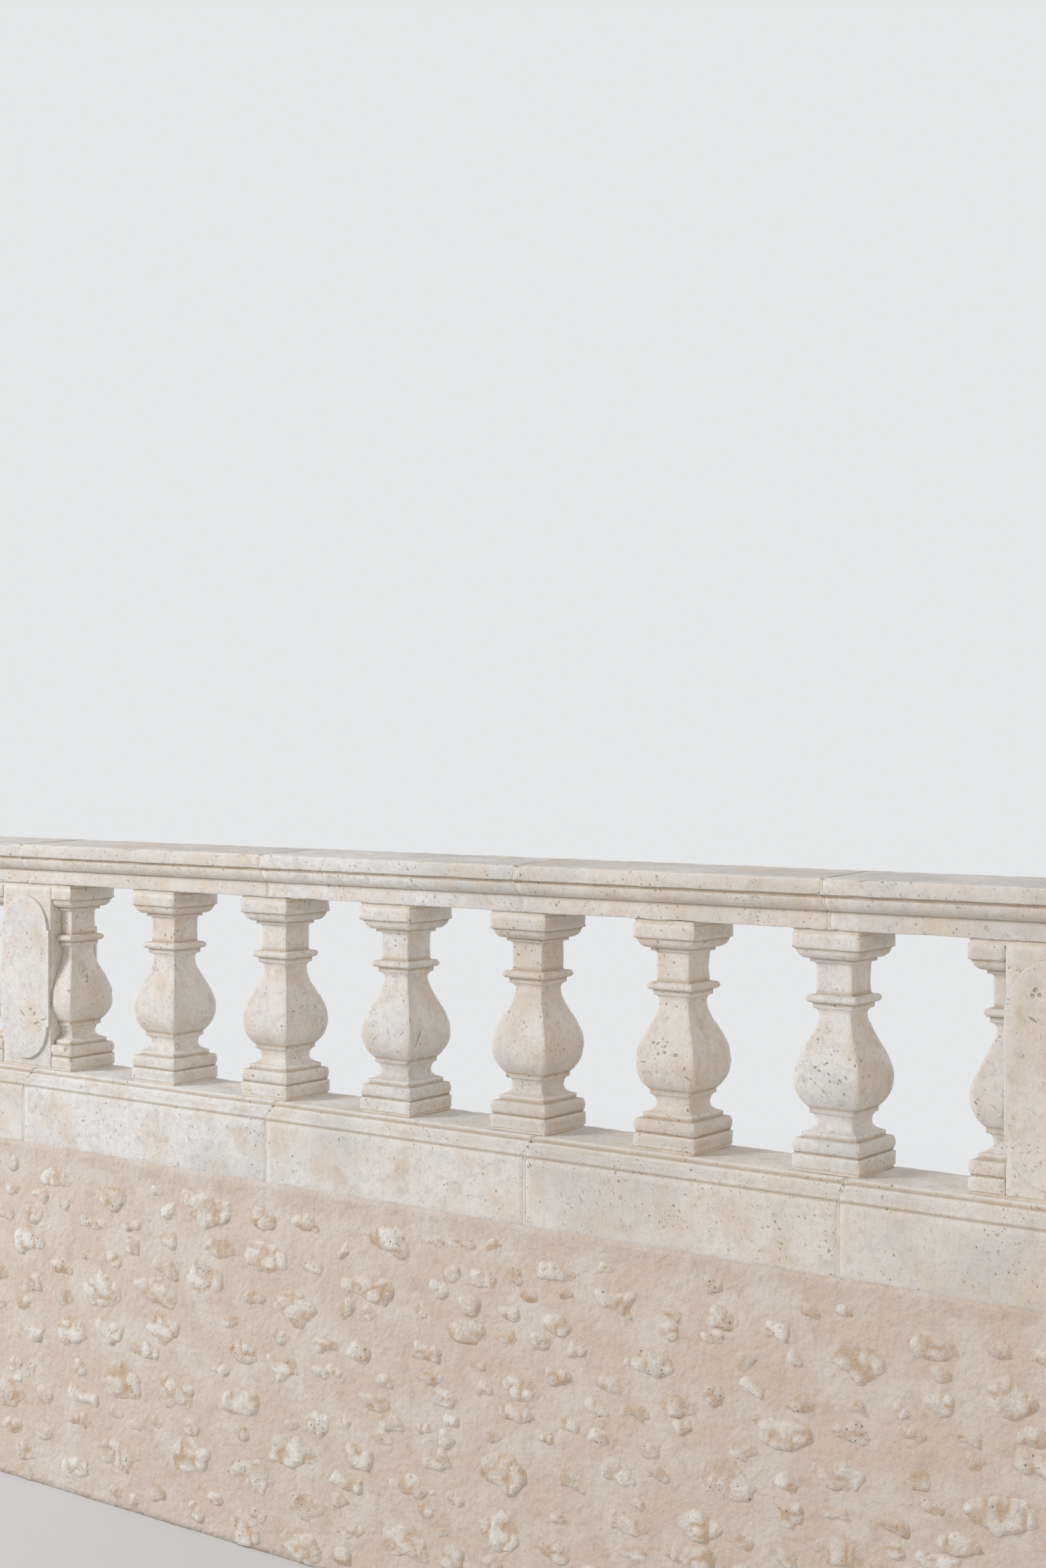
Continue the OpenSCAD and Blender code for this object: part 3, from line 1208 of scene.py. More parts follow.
@dataclass(frozen=True)
class RubbleStone:
    """Split field limestone, off-white, rough, chalky and holed, with ochre stain and painted shade in its
    hollows and creases.

    The mortar that was smeared over its rim keeps the mortar's colour.
    """

    pale: str = "#f5f1ea"
    # Ochre stain with painted shade, for the creases and the low parts of the face
    ochre: str = "#c4a077"
    grey: str = "#dcd5ca"
    smear: str = "#ddcebf"
    hole: str = "#9a8264"
    breaks: Patches = Patches(13 * MM, detail=5.0, rough=0.62)
    # The low parts of the same noise that raises the face, painted with ochre stain and painted shade
    creases_stained_and_shaded: Patches = Patches(13 * MM, 0.42, 0.3, detail=5.0, rough=0.62)
    clouds: Patches = Patches(60 * MM, 0.42, 0.66, detail=4.0)
    smears: Patches = Patches(45 * MM, 0.52, 0.64, detail=3.0)
    pits_in: Patches = Patches(0.12, 0.54, 0.64, 0.8)
    pits: Holes = Holes(15 * MM, 3.5 * MM)
    fray: Bend = Bend(10 * MM, 6 * MM)

    def material(self) -> bpy.types.Material:
        """Builds the node material.

        Returns:
            The material.
        """
        material, tree = new_tree("split_field_limestone")
        place = add_node(tree, Kind.PLACE).outputs["Object"]
        broken = self.breaks.drawn(tree, place)
        creases_stained_and_shaded = self.creases_stained_and_shaded.drawn(tree, place)
        crowd = self.pits_in.drawn(tree, place)
        pits = self.pits.drawn(tree, self.fray.of(tree, place), crowd)
        tone, rim, hollow = noted(tree, ("tone", "arris", "hollow"))
        shader = add_node(tree, Kind.SURFACE, {
            "Base Color": painted(tree, self.pale, (
                (self.clouds.drawn(tree, place), 0.8, self.grey),
                (tone, 1.0, self.smear),
                # Ochre stain and painted shade in the low parts of the face and in its creases
                (creases_stained_and_shaded, 0.7, self.ochre),
                (hollow, 0.75, self.ochre),
                (self.smears.drawn(tree, place), 0.6, self.smear),
                (rim, 0.95, self.smear),
                (pits, 0.7, self.hole),
            )),
            "Roughness": 0.9,
            "IOR": 1.45,
            "Specular IOR Level": 0.3,
            "Normal": relief(tree, ((broken, 6.0 * MM), (pits, -3.0 * MM))),
        })
        add_node(tree, Kind.MATERIAL, {"Surface": shader.outputs["BSDF"]})
        return material


class LimestoneStock:
    """The finish of every limestone: one that they share, and one more for each scarred stone."""

    def __init__(self) -> None:
        """Builds the finish that most stones share."""
        self._shared = Limestone().material()

    def cut_for(self, node: str) -> bpy.types.Material:
        """Hands out a stone's finish, its own if the stone that stands for a node has scars."""
        return Limestone(node).material() if node in SCARS else self._shared


# Sub-assemblies


def publish(shell: Shell, name: str, nodes: list[str], material: bpy.types.Material) -> None:
    """Makes a shell a piece of the balustrade.

    Args:
        shell: The piece's mesh.
        name: The piece's name.
        nodes: The plain solids that it stands for.
        material: Its finish.
    """
    piece = shell.to_object(name, material)
    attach(piece, BODY)
    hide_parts(*nodes)
    log.info("%s: %d faces, stands for %s", name, len(shell.faces), ", ".join(nodes))


@dataclass
class BalusterRow:
    """The square-section balusters, whole between the piers and halved against them.

    Sizes are in millimetres. A member's width is half of the stone's at that member.
    """

    solids: Solids
    stock: LimestoneStock
    wear: Weathering = field(default_factory=Weathering)
    pitch: float = 13.0
    base: float = 37.0
    torus: float = 40.0
    torus_in: float = 8.0
    fillet: float = 15.0
    fillet_width: float = 0.81
    scotia: float = 46.0
    waist_width: float = 0.555
    band: float = 14.0
    band_width: float = 0.673
    belly_width: float = 0.97
    throat_width: float = 0.49
    collar: float = 12.0
    collar_width: float = 0.61
    astragal: float = 25.0
    astragal_width: float = 0.752
    neck: float = 82.0
    neck_width: float = 0.54
    listel: float = 9.0
    listel_width: float = 0.654
    ovolo: float = 29.0
    ovolo_width: float = 0.93
    abacus: float = 38.0
    belly_at: float = 0.3
    throat_drop: float = 17.0
    bed_lap: float = 2.4
    stations: int = 14
    wear_seed: int = 100

    def build(self) -> None:
        """Builds every baluster and half baluster of the frame."""
        names = self.solids.called("baluster") + self.solids.called("half_baluster")
        pier_faces = self.solids.pier_faces()
        for seed, name in enumerate(names):
            low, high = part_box(name)
            half_depth = (high.y - low.y) / 2
            drawn = self.outline(half_depth / MM, (high.z - low.z) / MM).levels(self.pitch)
            levels = drawn.seated(self.bed_lap * MM, self.bed_lap * MM).raised_by(low.z)
            middle = (low.x + high.x) / 2
            low_x, high_x, across = middle - levels.out, middle + levels.out, self.stations
            if name.startswith("half"):
                stands_right = any(abs(low.x - face) < MM for face in pier_faces)
                low_x = low.x if stands_right else high.x - levels.out
                high_x = low.x + levels.out if stands_right else high.x
                across = self.stations // 2
            shell = Stack(levels, low_x, high_x, -levels.out, levels.out, across, self.stations).shell()
            shell.tone = tone_of(seed)
            stone = self.wear.worn(shell, self.wear_seed + seed)
            publish(stone, f"stone_{name}", [name], self.stock.cut_for(name))

    def outline(self, half: float, height: float) -> Outline:
        """Draws one side of a baluster.

        Args:
            half: Half of the base block's width.
            height: The stone's height.

        Returns:
            The outline.
        """
        fillet_up = self.base + self.torus
        scotia_up = fillet_up + self.fillet
        band_up = scotia_up + self.scotia
        bulb_up = band_up + self.band
        abacus_up = height - self.abacus
        ovolo_up = abacus_up - self.ovolo
        listel_up = ovolo_up - self.listel
        neck_up = listel_up - self.neck
        astragal_up = neck_up - self.astragal
        collar_up = astragal_up - self.collar
        belly_up = bulb_up + self.belly_at * (collar_up - bulb_up)
        throat_up = collar_up - self.throat_drop
        waist_up = (scotia_up + band_up) / 2
        fillet, waist, band = self.fillet_width * half, self.waist_width * half, self.band_width * half
        belly, throat, collar = self.belly_width * half, self.throat_width * half, self.collar_width * half
        astragal, neck, listel = self.astragal_width * half, self.neck_width * half, self.listel_width * half
        ovolo = self.ovolo_width * half
        torus = half - self.torus_in
        # Arcs start and end a millimetre or two inside their member, so that corners stay apart
        return (
            Outline(half, 0).to(half, self.base - 2).to(torus, self.base)
            .arc((torus, self.base + self.torus / 2), (self.torus_in, self.torus / 2 - 1), -90, 90)
            .to(fillet, fillet_up).to(fillet, scotia_up)
            .arc((fillet, waist_up), (fillet - waist, waist_up - scotia_up), 260, 180)
            .arc((band - 4, waist_up), (band - 4 - waist, band_up - waist_up - 1), 170, 90)
            .to(band, band_up).to(band, bulb_up)
            .curve((band + 14, bulb_up + 14), (belly, belly_up - 42), (belly, belly_up))
            .curve((belly, belly_up + 68), (throat + 2, throat_up - 54), (throat, throat_up))
            .arc((throat + 9, throat_up), (9, 15), 165, 105)
            .to(collar, collar_up).to(collar, astragal_up)
            .arc(
                (collar, astragal_up + self.astragal / 2),
                (astragal - collar, self.astragal / 2 - 1), -90, 90, 3.0,
            )
            .to(neck, neck_up)
            .arc((neck + 6, listel_up - 6), (6, 6), 180, 100, 3.0)
            .to(listel, listel_up).to(listel, ovolo_up)
            .arc((listel, abacus_up - 2), (ovolo - listel, self.ovolo - 3), -90, 0)
            .to(half, abacus_up).to(half, height)
        )


@dataclass
class Course:
    """A moulded course of long stones, whose top may fall to the front.

    Sizes are in millimetres: the pitch of its levels, the station that they are divided by
    along the run, and how far a stone laps into a joint. start is what its stones' names
    start with.
    """

    solids: Solids
    stock: LimestoneStock
    wear: Weathering = field(default_factory=Weathering)
    start: str = ""
    pitch: float = 20.0
    station: float = 17.0
    joint_lap: float = 1.0
    fall: float = 0.0
    wear_seed: int = 0
    tone_seed: int = 0

    def names(self) -> list[str]:
        """Returns the course's stones, from left to right."""
        return self.solids.called(self.start)

    def outline(self, half: float, height: float) -> Outline:
        """Draws one side of the course, which each kind of course does in its own way."""
        raise NotImplementedError

    def levels(self, half: float, height: float) -> Levels:
        """Cuts the outline for half of the course's width and its height at the front."""
        return self.outline(half, height).levels(self.pitch)

    def slope(self, shell: Shell, half: float, front: float) -> None:
        """Slopes the top, in place, of a course that sheds the rain."""

    def build(self) -> None:
        """Builds every stone of the course."""
        names = self.names()
        reach = max(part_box(name)[1].x for name in names)
        for seed, name in enumerate(names):
            low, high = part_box(name)
            half = (high.y - low.y) / 2
            front = (high.z - low.z) / MM - self.fall
            levels = self.levels(half / MM, front)
            shell = course_shell(levels, low, high, half, reach, self.station, self.joint_lap)
            self.slope(shell, half, front * MM)
            shell.points[:, 2] += low.z
            shell.tone = tone_of(self.tone_seed + seed)
            stone = self.wear.worn(shell, self.wear_seed + seed)
            publish(stone, f"moulded_{name}", [name], self.stock.cut_for(name))


@dataclass
class PlinthCourse(Course):
    """The moulded course that carries the balusters. Sizes are in millimetres."""

    wear: Weathering = field(default_factory=lambda: Weathering(chip=8.0 * MM))
    start: str = "plinth_stone"
    wear_seed: int = 200
    tone_seed: int = 40
    fillet_height: float = 13.0
    fillet_back: float = 42.0
    hollow_height: float = 15.0
    hollow_back: float = 28.0
    hollow_radii: tuple[float, float] = (12.0, 13.0)
    bead_drop: float = 46.0
    bead_radius: float = 9.0

    def outline(self, half: float, height: float) -> Outline:
        """Draws one side of the course.

        Args:
            half: Half of the course's width.
            height: Its height.

        Returns:
            The outline.
        """
        bead_up = height - self.bead_drop
        hollow_out = half - self.hollow_back + self.hollow_radii[0]
        return (
            Outline(half, 0).to(half, bead_up - self.bead_radius - 2)
            .arc((half - self.bead_radius, bead_up), (self.bead_radius, self.bead_radius), -60, 66, 3.0)
            .arc((hollow_out, height - self.hollow_height), self.hollow_radii, 270, 184, 4.0)
            .to(half - self.fillet_back, height - self.fillet_height)
            .to(half - self.fillet_back, height)
        )

    def levels(self, half: float, height: float) -> Levels:
        """Cuts the outline, whose foot rests on the wall."""
        return super().levels(half, height).seated(0.0)


@dataclass
class CapCourse(Course):
    """The moulded cap, whose top sheds the rain to the front. Sizes are in millimetres."""

    wear: Weathering = field(default_factory=lambda: Weathering(chip=13.0 * MM, nibble=3.6 * MM))
    start: str = "cap_stone"
    pitch: float = 16.0
    station: float = 14.5
    joint_lap: float = 1.7
    fall: float = 7.0
    wear_seed: int = 300
    tone_seed: int = 60
    fascia: float = 50.0
    fascia_back: float = 41.0
    ovolo: float = 37.0
    ovolo_back: float = 44.0
    ovolo_reach: float = 35.0
    quirk: float = 6.0
    quirk_back: float = 12.0
    arris: float = 9.0

    def outline(self, half: float, height: float) -> Outline:
        """Draws one side of the cap.

        Args:
            half: Half of the cap's width.
            height: Its height at the front.

        Returns:
            The outline.
        """
        ovolo_up = self.fascia + self.ovolo
        slab_up = ovolo_up + self.quirk
        quirk_out = half - self.quirk_back
        return (
            Outline(half - self.fascia_back, 0).to(half - self.fascia_back, self.fascia - 2)
            .arc((half - self.ovolo_back, ovolo_up), (self.ovolo_reach, self.ovolo), -88, 0, 4.5)
            .to(quirk_out, ovolo_up).to(quirk_out, slab_up).to(half, slab_up)
            .arc((half - self.arris, height - self.arris), (self.arris, self.arris), 0, 90, 2.5)
        )

    def levels(self, half: float, height: float) -> Levels:
        """Cuts the outline, whose rounded top edge is worn as an arris.

        Args:
            half: Half of the cap's width.
            height: Its height at the front.

        Returns:
            The levels.
        """
        drawn = super().levels(half, height)
        from_edge = np.abs(height * MM - self.arris * MM / 2 - drawn.up)
        return replace(drawn, from_arris=np.minimum(drawn.from_arris, from_edge))

    def slope(self, shell: Shell, half: float, front: float) -> None:
        """Raises the slab's top towards the back, in place.

        Args:
            shell: A stone of the cap, or the mortar of a joint in it.
            half: Half of the cap's width.
            front: Its height at the front.
        """
        slab_up = (self.fascia + self.ovolo + self.quirk) * MM
        part = np.clip((shell.points[:, 2] - slab_up) / (front - slab_up), 0.0, 1.0)
        back = (shell.points[:, 1] + half) / (2 * half)
        shell.points[:, 2] += part * back * self.fall * MM


@dataclass
class PierRow:
    """The pier stones, with a raised panel whose ends are round, front and back.

    The panel's rings stay so far apart at the shoulders, parting, and each is less high than
    the one outside it, down to a share of the panel's height, last_height.
    """

    solids: Solids
    stock: LimestoneStock
    wear: Weathering = field(default_factory=Weathering)
    panel_wear: Weathering = field(
        default_factory=lambda: Weathering(chip=4.0 * MM, nibble=1.0 * MM, round_over=0.5 * MM)
    )
    proud: float = 10 * MM
    shoulder: float = 11 * MM
    foot: float = 20 * MM
    head: float = 28 * MM
    sunk: float = 4 * MM
    bed_lap: float = 2.4 * MM
    arc_points: int = 26
    side_points: int = 14
    rings: int = 9
    parting: float = 16 * MM
    last_height: float = 0.35
    pitch: float = 16.0
    stations: tuple[int, int] = (14, 12)
    wear_seed: int = 400
    tone_seed: int = 80

    def build(self) -> None:
        """Builds the three piers."""
        for seed, name in enumerate(self.solids.called("pier_")):
            low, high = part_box(name)
            half_depth = high.y - self.proud
            plain = Outline(half_depth / MM, 0).to(half_depth / MM, (high.z - low.z) / MM)
            levels = plain.levels(self.pitch).seated(self.bed_lap, self.bed_lap).raised_by(low.z)
            block = Stack(levels, low.x, high.x, -half_depth, half_depth, *self.stations).shell()
            wear_seed = self.wear_seed + 10 * seed
            shells = [self.wear.worn(block, wear_seed)]
            for count, side in enumerate(Side, start=1):
                shells.append(self.panel_wear.worn(self.panel(low, high, side), wear_seed + count))
            pier = Shell.joined(shells)
            pier.tone = tone_of(self.tone_seed + seed)
            publish(pier, f"panelled_{name}", [name], self.stock.cut_for(name))

    def panel(self, low: Any, high: Any, side: Side) -> Shell:
        """Builds one raised panel.

        Args:
            low: The pier's lowest corner.
            high: Its highest corner.
            side: The face that the panel is on.

        Returns:
            The panel as rings that close in on its middle line.
        """
        middle_x, half_x = (low.x + high.x) / 2, (high.x - low.x) / 2
        radius = half_x - self.shoulder
        ends = (low.z + self.foot + radius, high.z - self.head - radius)
        outline = self._rim(half_x, radius, ends)
        middle = np.array([0.0, sum(ends) / 2])
        face = side.value * high.y
        rim = [(0.0, self.proud + self.sunk), (0.0, 2.0 * MM), (0.0, 0.0), (2.0 * MM, 0.0), (5.0 * MM, 0.0)]
        inward = self._inward(outline)
        points, gaps = [], []
        for inset, depth in rim:
            points.append(self._placed(outline + inward * inset, middle_x, face, depth, side))
            gaps.append(np.full(len(outline), inset + depth))
        inner = outline + inward * rim[-1][0] - middle
        # Away from the rim, the round ends draw apart from the straight sides
        apart = self.parting * np.sign(inner[:, 1]) * (np.abs(outline[:, 0]) < radius + 0.1 * MM)
        for part in np.linspace(1.0, 0.0, self.rings + 1)[1:-1]:
            ring = middle + inner * [part, self.last_height + (1.0 - self.last_height) * part]
            ring[:, 1] += apart * (1.0 - part)
            points.append(self._placed(ring, middle_x, face, 0.0, side))
            gaps.append(np.full(len(outline), FAR))
        count = len(outline)
        faces = rings_to_faces(len(points), count)
        first, head = (len(points) - 1) * count, count // 2
        faces.append((first, first + 1, first + count - 1))
        faces += [
            (first + i, first + i + 1, first + count - i - 1, first + count - i)
            for i in range(1, head - 1)
        ]
        faces.append((first + head - 1, first + head, first + head + 1))
        faces.append(tuple(range(count - 1, -1, -1)))
        if side is Side.BACK:
            faces = [ring_face[::-1] for ring_face in faces]
        joined = np.concatenate(points)
        room = np.full(len(joined), self.proud)
        return Shell(joined, faces, np.concatenate(gaps), np.zeros(len(joined)), room)

    def _rim(self, half: float, radius: float, ends: tuple[float, float]) -> np.ndarray:
        """Draws the panel's rim, anticlockwise from the front, from its lowest point.

        Args:
            half: Half of the panel's width at its straight sides.
            radius: The radius of its round ends.
            ends: The heights of their middles.

        Returns:
            One (x, z) a row.
        """
        turns = np.linspace(-math.pi / 2, 0.0, self.arc_points)
        foot = np.stack([radius * np.cos(turns), ends[0] + radius * np.sin(turns)], axis=1)
        side = np.stack([np.full(self.side_points, half), np.linspace(*ends, self.side_points)], axis=1)
        head = np.stack([radius * np.cos(-turns[::-1]), ends[1] + radius * np.sin(-turns[::-1])], axis=1)
        right = np.concatenate([foot, side, head])
        return np.concatenate([right, right[-2:0:-1] * [-1.0, 1.0]])

    @staticmethod
    def _inward(outline: np.ndarray) -> np.ndarray:
        """Finds the inward direction at each point of an anticlockwise rim.

        Args:
            outline: The rim, one (x, z) a row.

        Returns:
            One direction a row, 1 long.
        """
        along = np.roll(outline, -1, axis=0) - np.roll(outline, 1, axis=0)
        across = np.stack([-along[:, 1], along[:, 0]], axis=1)
        return across / np.maximum(np.linalg.norm(across, axis=1, keepdims=True), 1e-9)

    @staticmethod
    def _placed(ring: np.ndarray, middle: float, face: float, depth: float, side: Side) -> np.ndarray:
        """Returns a ring of (x, z) stood up at a depth behind the panel's face."""
        y = np.full(len(ring), face - side.value * depth)
        return np.stack([ring[:, 0] + middle, y, ring[:, 1]], axis=1)


@dataclass
class Mortar:
    """The beds under and over the balusters and piers, and the joints between the stones.

    The mortar is struck off nearly flush, and it fills what the worn arrises leave open.
    Sizes are in millimetres.
    """

    material: bpy.types.Material
    plinth: PlinthCourse
    cap: CapCourse
    bed_wear: Weathering = field(
        default_factory=lambda: Weathering(
            set_back=2.0 * MM, waver=1.4 * MM, waver_size=0.05, dimple=1.0 * MM, dimple_size=0.016
        )
    )
    joint_wear: Weathering = field(
        default_factory=lambda: Weathering(
            set_back=1.2 * MM, waver=0.6 * MM, waver_size=0.06, dimple=0.8 * MM, dimple_size=0.012
        )
    )
    grip: float = 3.0
    pitch: float = 16.0
    bed_station: float = 20.0
    bed_seed: int = 500
    joint_seed: int = 600

    def build(self) -> None:
        """Builds the two sets of beds and the two sets of joints."""
        for seed, name in enumerate(("mortar_under_balusters", "mortar_over_balusters")):
            shells = [self._bed(low, high) for low, high in islands(name)]
            self._publish(name, shells, self.bed_wear, self.bed_seed + 40 * seed)
        courses = (("mortar_in_plinth_joints", self.plinth), ("mortar_in_cap_joints", self.cap))
        for seed, (name, course) in enumerate(courses):
            shells = [self._joint(low, high, course) for low, high in islands(name)]
            self._publish(name, shells, self.joint_wear, self.joint_seed + 40 * seed)

    def _publish(self, name: str, shells: list[Shell], wear: Weathering, seed: int) -> None:
        """Wears the mortar of one node and makes it a piece.

        Args:
            name: The node.
            shells: Its beds or joints.
            wear: How they are worn.
            seed: The random seed of the first one's wear.
        """
        worn = [wear.worn(shell, seed + count) for count, shell in enumerate(shells)]
        publish(Shell.joined(worn), f"sandy_{name}", [name], self.material)

    def _bed(self, low: np.ndarray, high: np.ndarray) -> Shell:
        """Builds one bed.

        Args:
            low: Its lowest corner.
            high: Its highest corner.

        Returns:
            The bed, which grips the stones below and above it.
        """
        up = np.linspace(low[2] - self.grip * MM, high[2] + self.grip * MM, 5)
        across = max(8, round((high[0] - low[0]) / (self.bed_station * MM)))
        return Stack(Levels.plain(up * 0, up), low[0], high[0], low[1], high[1], across, 9).shell()

    def _joint(self, low: np.ndarray, high: np.ndarray, course: Course) -> Shell:
        """Builds one joint, whose face follows the course's mouldings.

        Args:
            low: Its lowest corner.
            high: Its highest corner.
            course: The course that it is in.

        Returns:
            The joint, which grips the stones on its left and right.
        """
        stone_low, stone_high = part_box(course.names()[1])
        half = (stone_high.y - stone_low.y) / 2
        front = (stone_high.z - stone_low.z) / MM - course.fall
        drawn = course.outline(half / MM, front).levels(self.pitch)
        levels = Levels.plain(drawn.out, drawn.up)
        grip = self.grip * MM
        shell = Stack(levels, low[0] - grip, high[0] + grip, -levels.out, levels.out, 3, 8).shell()
        course.slope(shell, half, front * MM)
        shell.points[:, 2] += stone_low.z
        return shell


@dataclass
class RubbleWall:
    """The low wall of field stones, pointed so full that only parts of their faces show.

    A stone's width has a least, a usual and a greatest value, its height a least and a
    greatest one, and slenderness is its height as a part of its width. Its face stands proud
    of the pointing, and its rim is buried. The lumps and ridges of the face are folds in a
    noise: usual_noise leaves the face where it is, and up to crease_noise it counts as hollow,
    which the finish paints with ochre stain and painted shade.
    """

    pointing: bpy.types.Material
    stone: bpy.types.Material
    node: str = "rubble_wall"
    pitch: float = 21 * MM
    back: float = 5.0 * MM
    swell: float = 5.0 * MM
    swell_size: float = 0.15
    dab: float = 2.4 * MM
    dab_size: float = 0.05
    flush: float = 3.4 * MM
    flush_band: float = 45 * MM
    lap: float = 6.0 * MM
    stones_a_square_metre: float = 52.0
    stone_width: tuple[float, float, float] = (0.07, 0.15, 0.27)
    stone_height: tuple[float, float] = (0.05, 0.125)
    slenderness: tuple[float, float] = (0.26, 0.7)
    ragged: float = 18 * MM
    ragged_size: float = 0.05
    top_margin: float = 48 * MM
    corner_margin: float = 28 * MM
    proud: tuple[float, float] = (5.0 * MM, 11.0 * MM)
    buried: float = 3.0 * MM
    deep: float = 18 * MM
    lump: float = 13 * MM
    lump_size: float = 0.034
    ridge: float = 5 * MM
    ridge_size: float = 0.019
    rim_rise: float = 1.1
    smeared: float = 2.6 * MM
    cell: float = 10.2 * MM
    tries_a_stone: int = 14
    size_fall: float = 0.35
    usual_noise: float = 0.22
    crease_noise: float = 0.16
    warmest: float = 0.45
    seed: int = 7
    pointing_seed: int = 700

    def build(self) -> None:
        """Builds the pointing, and the stones on the two faces and the two ends."""
        low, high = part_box(self.node)
        self._build_pointing(low, high)
        rng = np.random.default_rng(self.seed)
        for side in Side:
            shells = [self._stones(rng, low, high, side, on_end) for on_end in (False, True)]
            joined = Shell.joined(shells[0] + shells[1])
            joined.points[:, 2] = np.maximum(joined.points[:, 2], low.z)
            name = f"field_stones_{side.name.lower()}"
            publish(joined, name, [self.node], self.stone)

    def _build_pointing(self, low: Any, high: Any) -> None:
        """Builds the pointing, which swells between the stones and ends flush under the course.

        Args:
            low: The wall's lowest corner.
            high: Its highest corner.
        """
        up = np.linspace(low.z, high.z + self.lap, round((high.z - low.z) / self.pitch))
        flat = Levels.plain(up * 0, up)
        across = round((high.x - low.x) / self.pitch)
        shell = Stack(flat, low.x, high.x, low.y, high.y, across, 4, ease=self.corner_margin / 2).shell()
        noise = Noise(self.pointing_seed)
        inwards = shell.inwards(shell.nearest_arris(2 * Shell.ARRIS_BAND))
        inwards[:, 2] = 0.0
        near_top = np.exp(-(((high.z + self.lap - shell.points[:, 2]) / self.flush_band) ** 2))
        swells = 0.5 + 0.5 * noise.layered(shell.points, self.swell_size, 2)
        dabs = 0.5 + 0.5 * noise.layered(shell.points + 4.0, self.dab_size, 2)
        depth = self.back + self.swell * swells + self.dab * dabs
        depth = depth * (1.0 - near_top) - near_top * (self.flush - 0.5 * MM * dabs)
        shell.points += inwards * depth[:, None]
        publish(shell, "wall_pointing", [self.node], self.pointing)

    def _spots(self, rng: np.random.Generator, length: float, height: float) -> list[tuple[float, ...]]:
        """Scatters stones over a face, the largest first, with none on another.

        Args:
            rng: The wall's random numbers.
            length: The face's length.
            height: Its height.

        Returns:
            Each stone's middle, along and up, with its width and height.
        """
        spots: list[tuple[float, ...]] = []
        wanted = round(self.stones_a_square_metre * length * height)
        tries = self.tries_a_stone * wanted
        for turn in range(tries):
            least, usual, most = self.stone_width
            wide = rng.uniform(least, most + (usual - most) * (turn / tries) ** self.size_fall)
            wide = min(wide, length - 2.5 * self.corner_margin)
            tall = float(np.clip(wide * rng.uniform(*self.slenderness), *self.stone_height))
            side = self.corner_margin + wide / 2
            along = rng.uniform(side, length - side)
            up = rng.uniform(tall / 3, height - self.top_margin - tall / 2)
            if len(spots) < wanted and self._clear(spots, (along, up, wide, tall)):
                spots.append((along, up, wide, tall))
        return spots

    @staticmethod
    def _clear(spots: list[tuple[float, ...]], spot: tuple[float, ...]) -> bool:
        """Tells whether a stone is clear of all the others.

        Args:
            spots: The others.
            spot: The stone's middle, along and up, with its width and height.

        Returns:
            True if it overlaps none.
        """
        if not spots:
            return True
        others = np.array(spots)
        apart = np.abs(others[:, :2] - spot[:2]) - (others[:, 2:] + spot[2:]) / 2
        return bool((apart.max(axis=1) > 0.0).all())

    def _stones(
        self, rng: np.random.Generator, low: Any, high: Any, side: Side, on_end: bool
    ) -> list[Shell]:
        """Builds the stones on a long face, or on the end that goes with it.

        Args:
            rng: The wall's random numbers.
            low: The wall's lowest corner.
            high: Its highest corner.
            side: The face. The left end goes with the front, the right end with the back.
            on_end: True for the end.

        Returns:
            The stones.
        """
        across, through = (1, 0) if on_end else (0, 1)
        face = (high if side is Side.BACK else low)[through]
        turn = side.value if on_end else -side.value
        shells = []
        for along, up, wide, tall in self._spots(rng, high[across] - low[across], high.z - low.z):
            stone = self._stone(rng, wide, tall)
            placed = np.empty_like(stone.points)
            placed[:, across] = low[across] + along + turn * stone.points[:, 0]
            placed[:, through] = face + side.value * stone.points[:, 2]
            placed[:, 2] = low.z + up + stone.points[:, 1]
            stone.points = placed
            shells.append(stone)
        return shells

    def _stone(self, rng: np.random.Generator, wide: float, tall: float) -> Shell:
        """Builds one stone's face, split and lumpy, which dives under the pointing at its rim.

        Args:
            rng: The wall's random numbers.
            wide: The stone's width.
            tall: Its height.

        Returns:
            A closed patch about its middle, with its face towards +Z.
        """
        noise = Noise(int(rng.integers(1_000_000)))
        margin = 1.2 * self.cell
        columns, rows = (max(4, round((size + 2 * margin) / self.cell)) for size in (wide, tall))
        x, z = np.meshgrid(
            np.linspace(-wide / 2 - margin, wide / 2 + margin, columns + 1),
            np.linspace(-tall / 2 - margin, tall / 2 + margin, rows + 1),
            indexing="ij",
        )
        flat = np.stack([x.ravel(), z.ravel()], axis=1)
        flat += rng.uniform(-0.2, 0.2, flat.shape) * self.cell
        spread = np.column_stack([flat, np.zeros(len(flat))])
        level = self.back + (self.swell + self.dab) / 2
        sides = self._planes(rng, (wide, tall), (5, 9), (0.7, 1.0))
        inside = (sides[:, 0] - flat @ sides[:, 1:].T).min(axis=1)
        inside += self.ragged * noise.layered(spread, self.ragged_size)
        flats = self._planes(rng, (wide, tall), (4, 7), (1.0, 1.0))
        count = len(flats)
        over = rng.uniform(*self.proud) * rng.uniform(1.0, 1.35, count)
        fall = (over + self.buried) / flats[:, 0] * rng.uniform(0.0, 0.9, count)
        face = (over[None, :] - (flat @ flats[:, 1:].T) * fall[None, :]).min(axis=1) - level
        crease = np.abs(noise.at(spread + 1.0, self.lump_size))
        ridges = np.abs(noise.at(spread + 2.0, self.ridge_size))
        lumps = self.lump * (crease - self.usual_noise) + self.ridge * (ridges - self.usual_noise)
        height = np.minimum(face + lumps, self.rim_rise * inside + lumps / 2 - level - 2 * MM)
        above = np.clip(height + level, 0.0, None)
        height = np.where(height > 0, self.flush * np.tanh(height / self.flush), height)
        height = np.maximum(height, -self.deep).reshape(columns + 1, rows + 1)
        height[[0, -1], :] = -self.deep
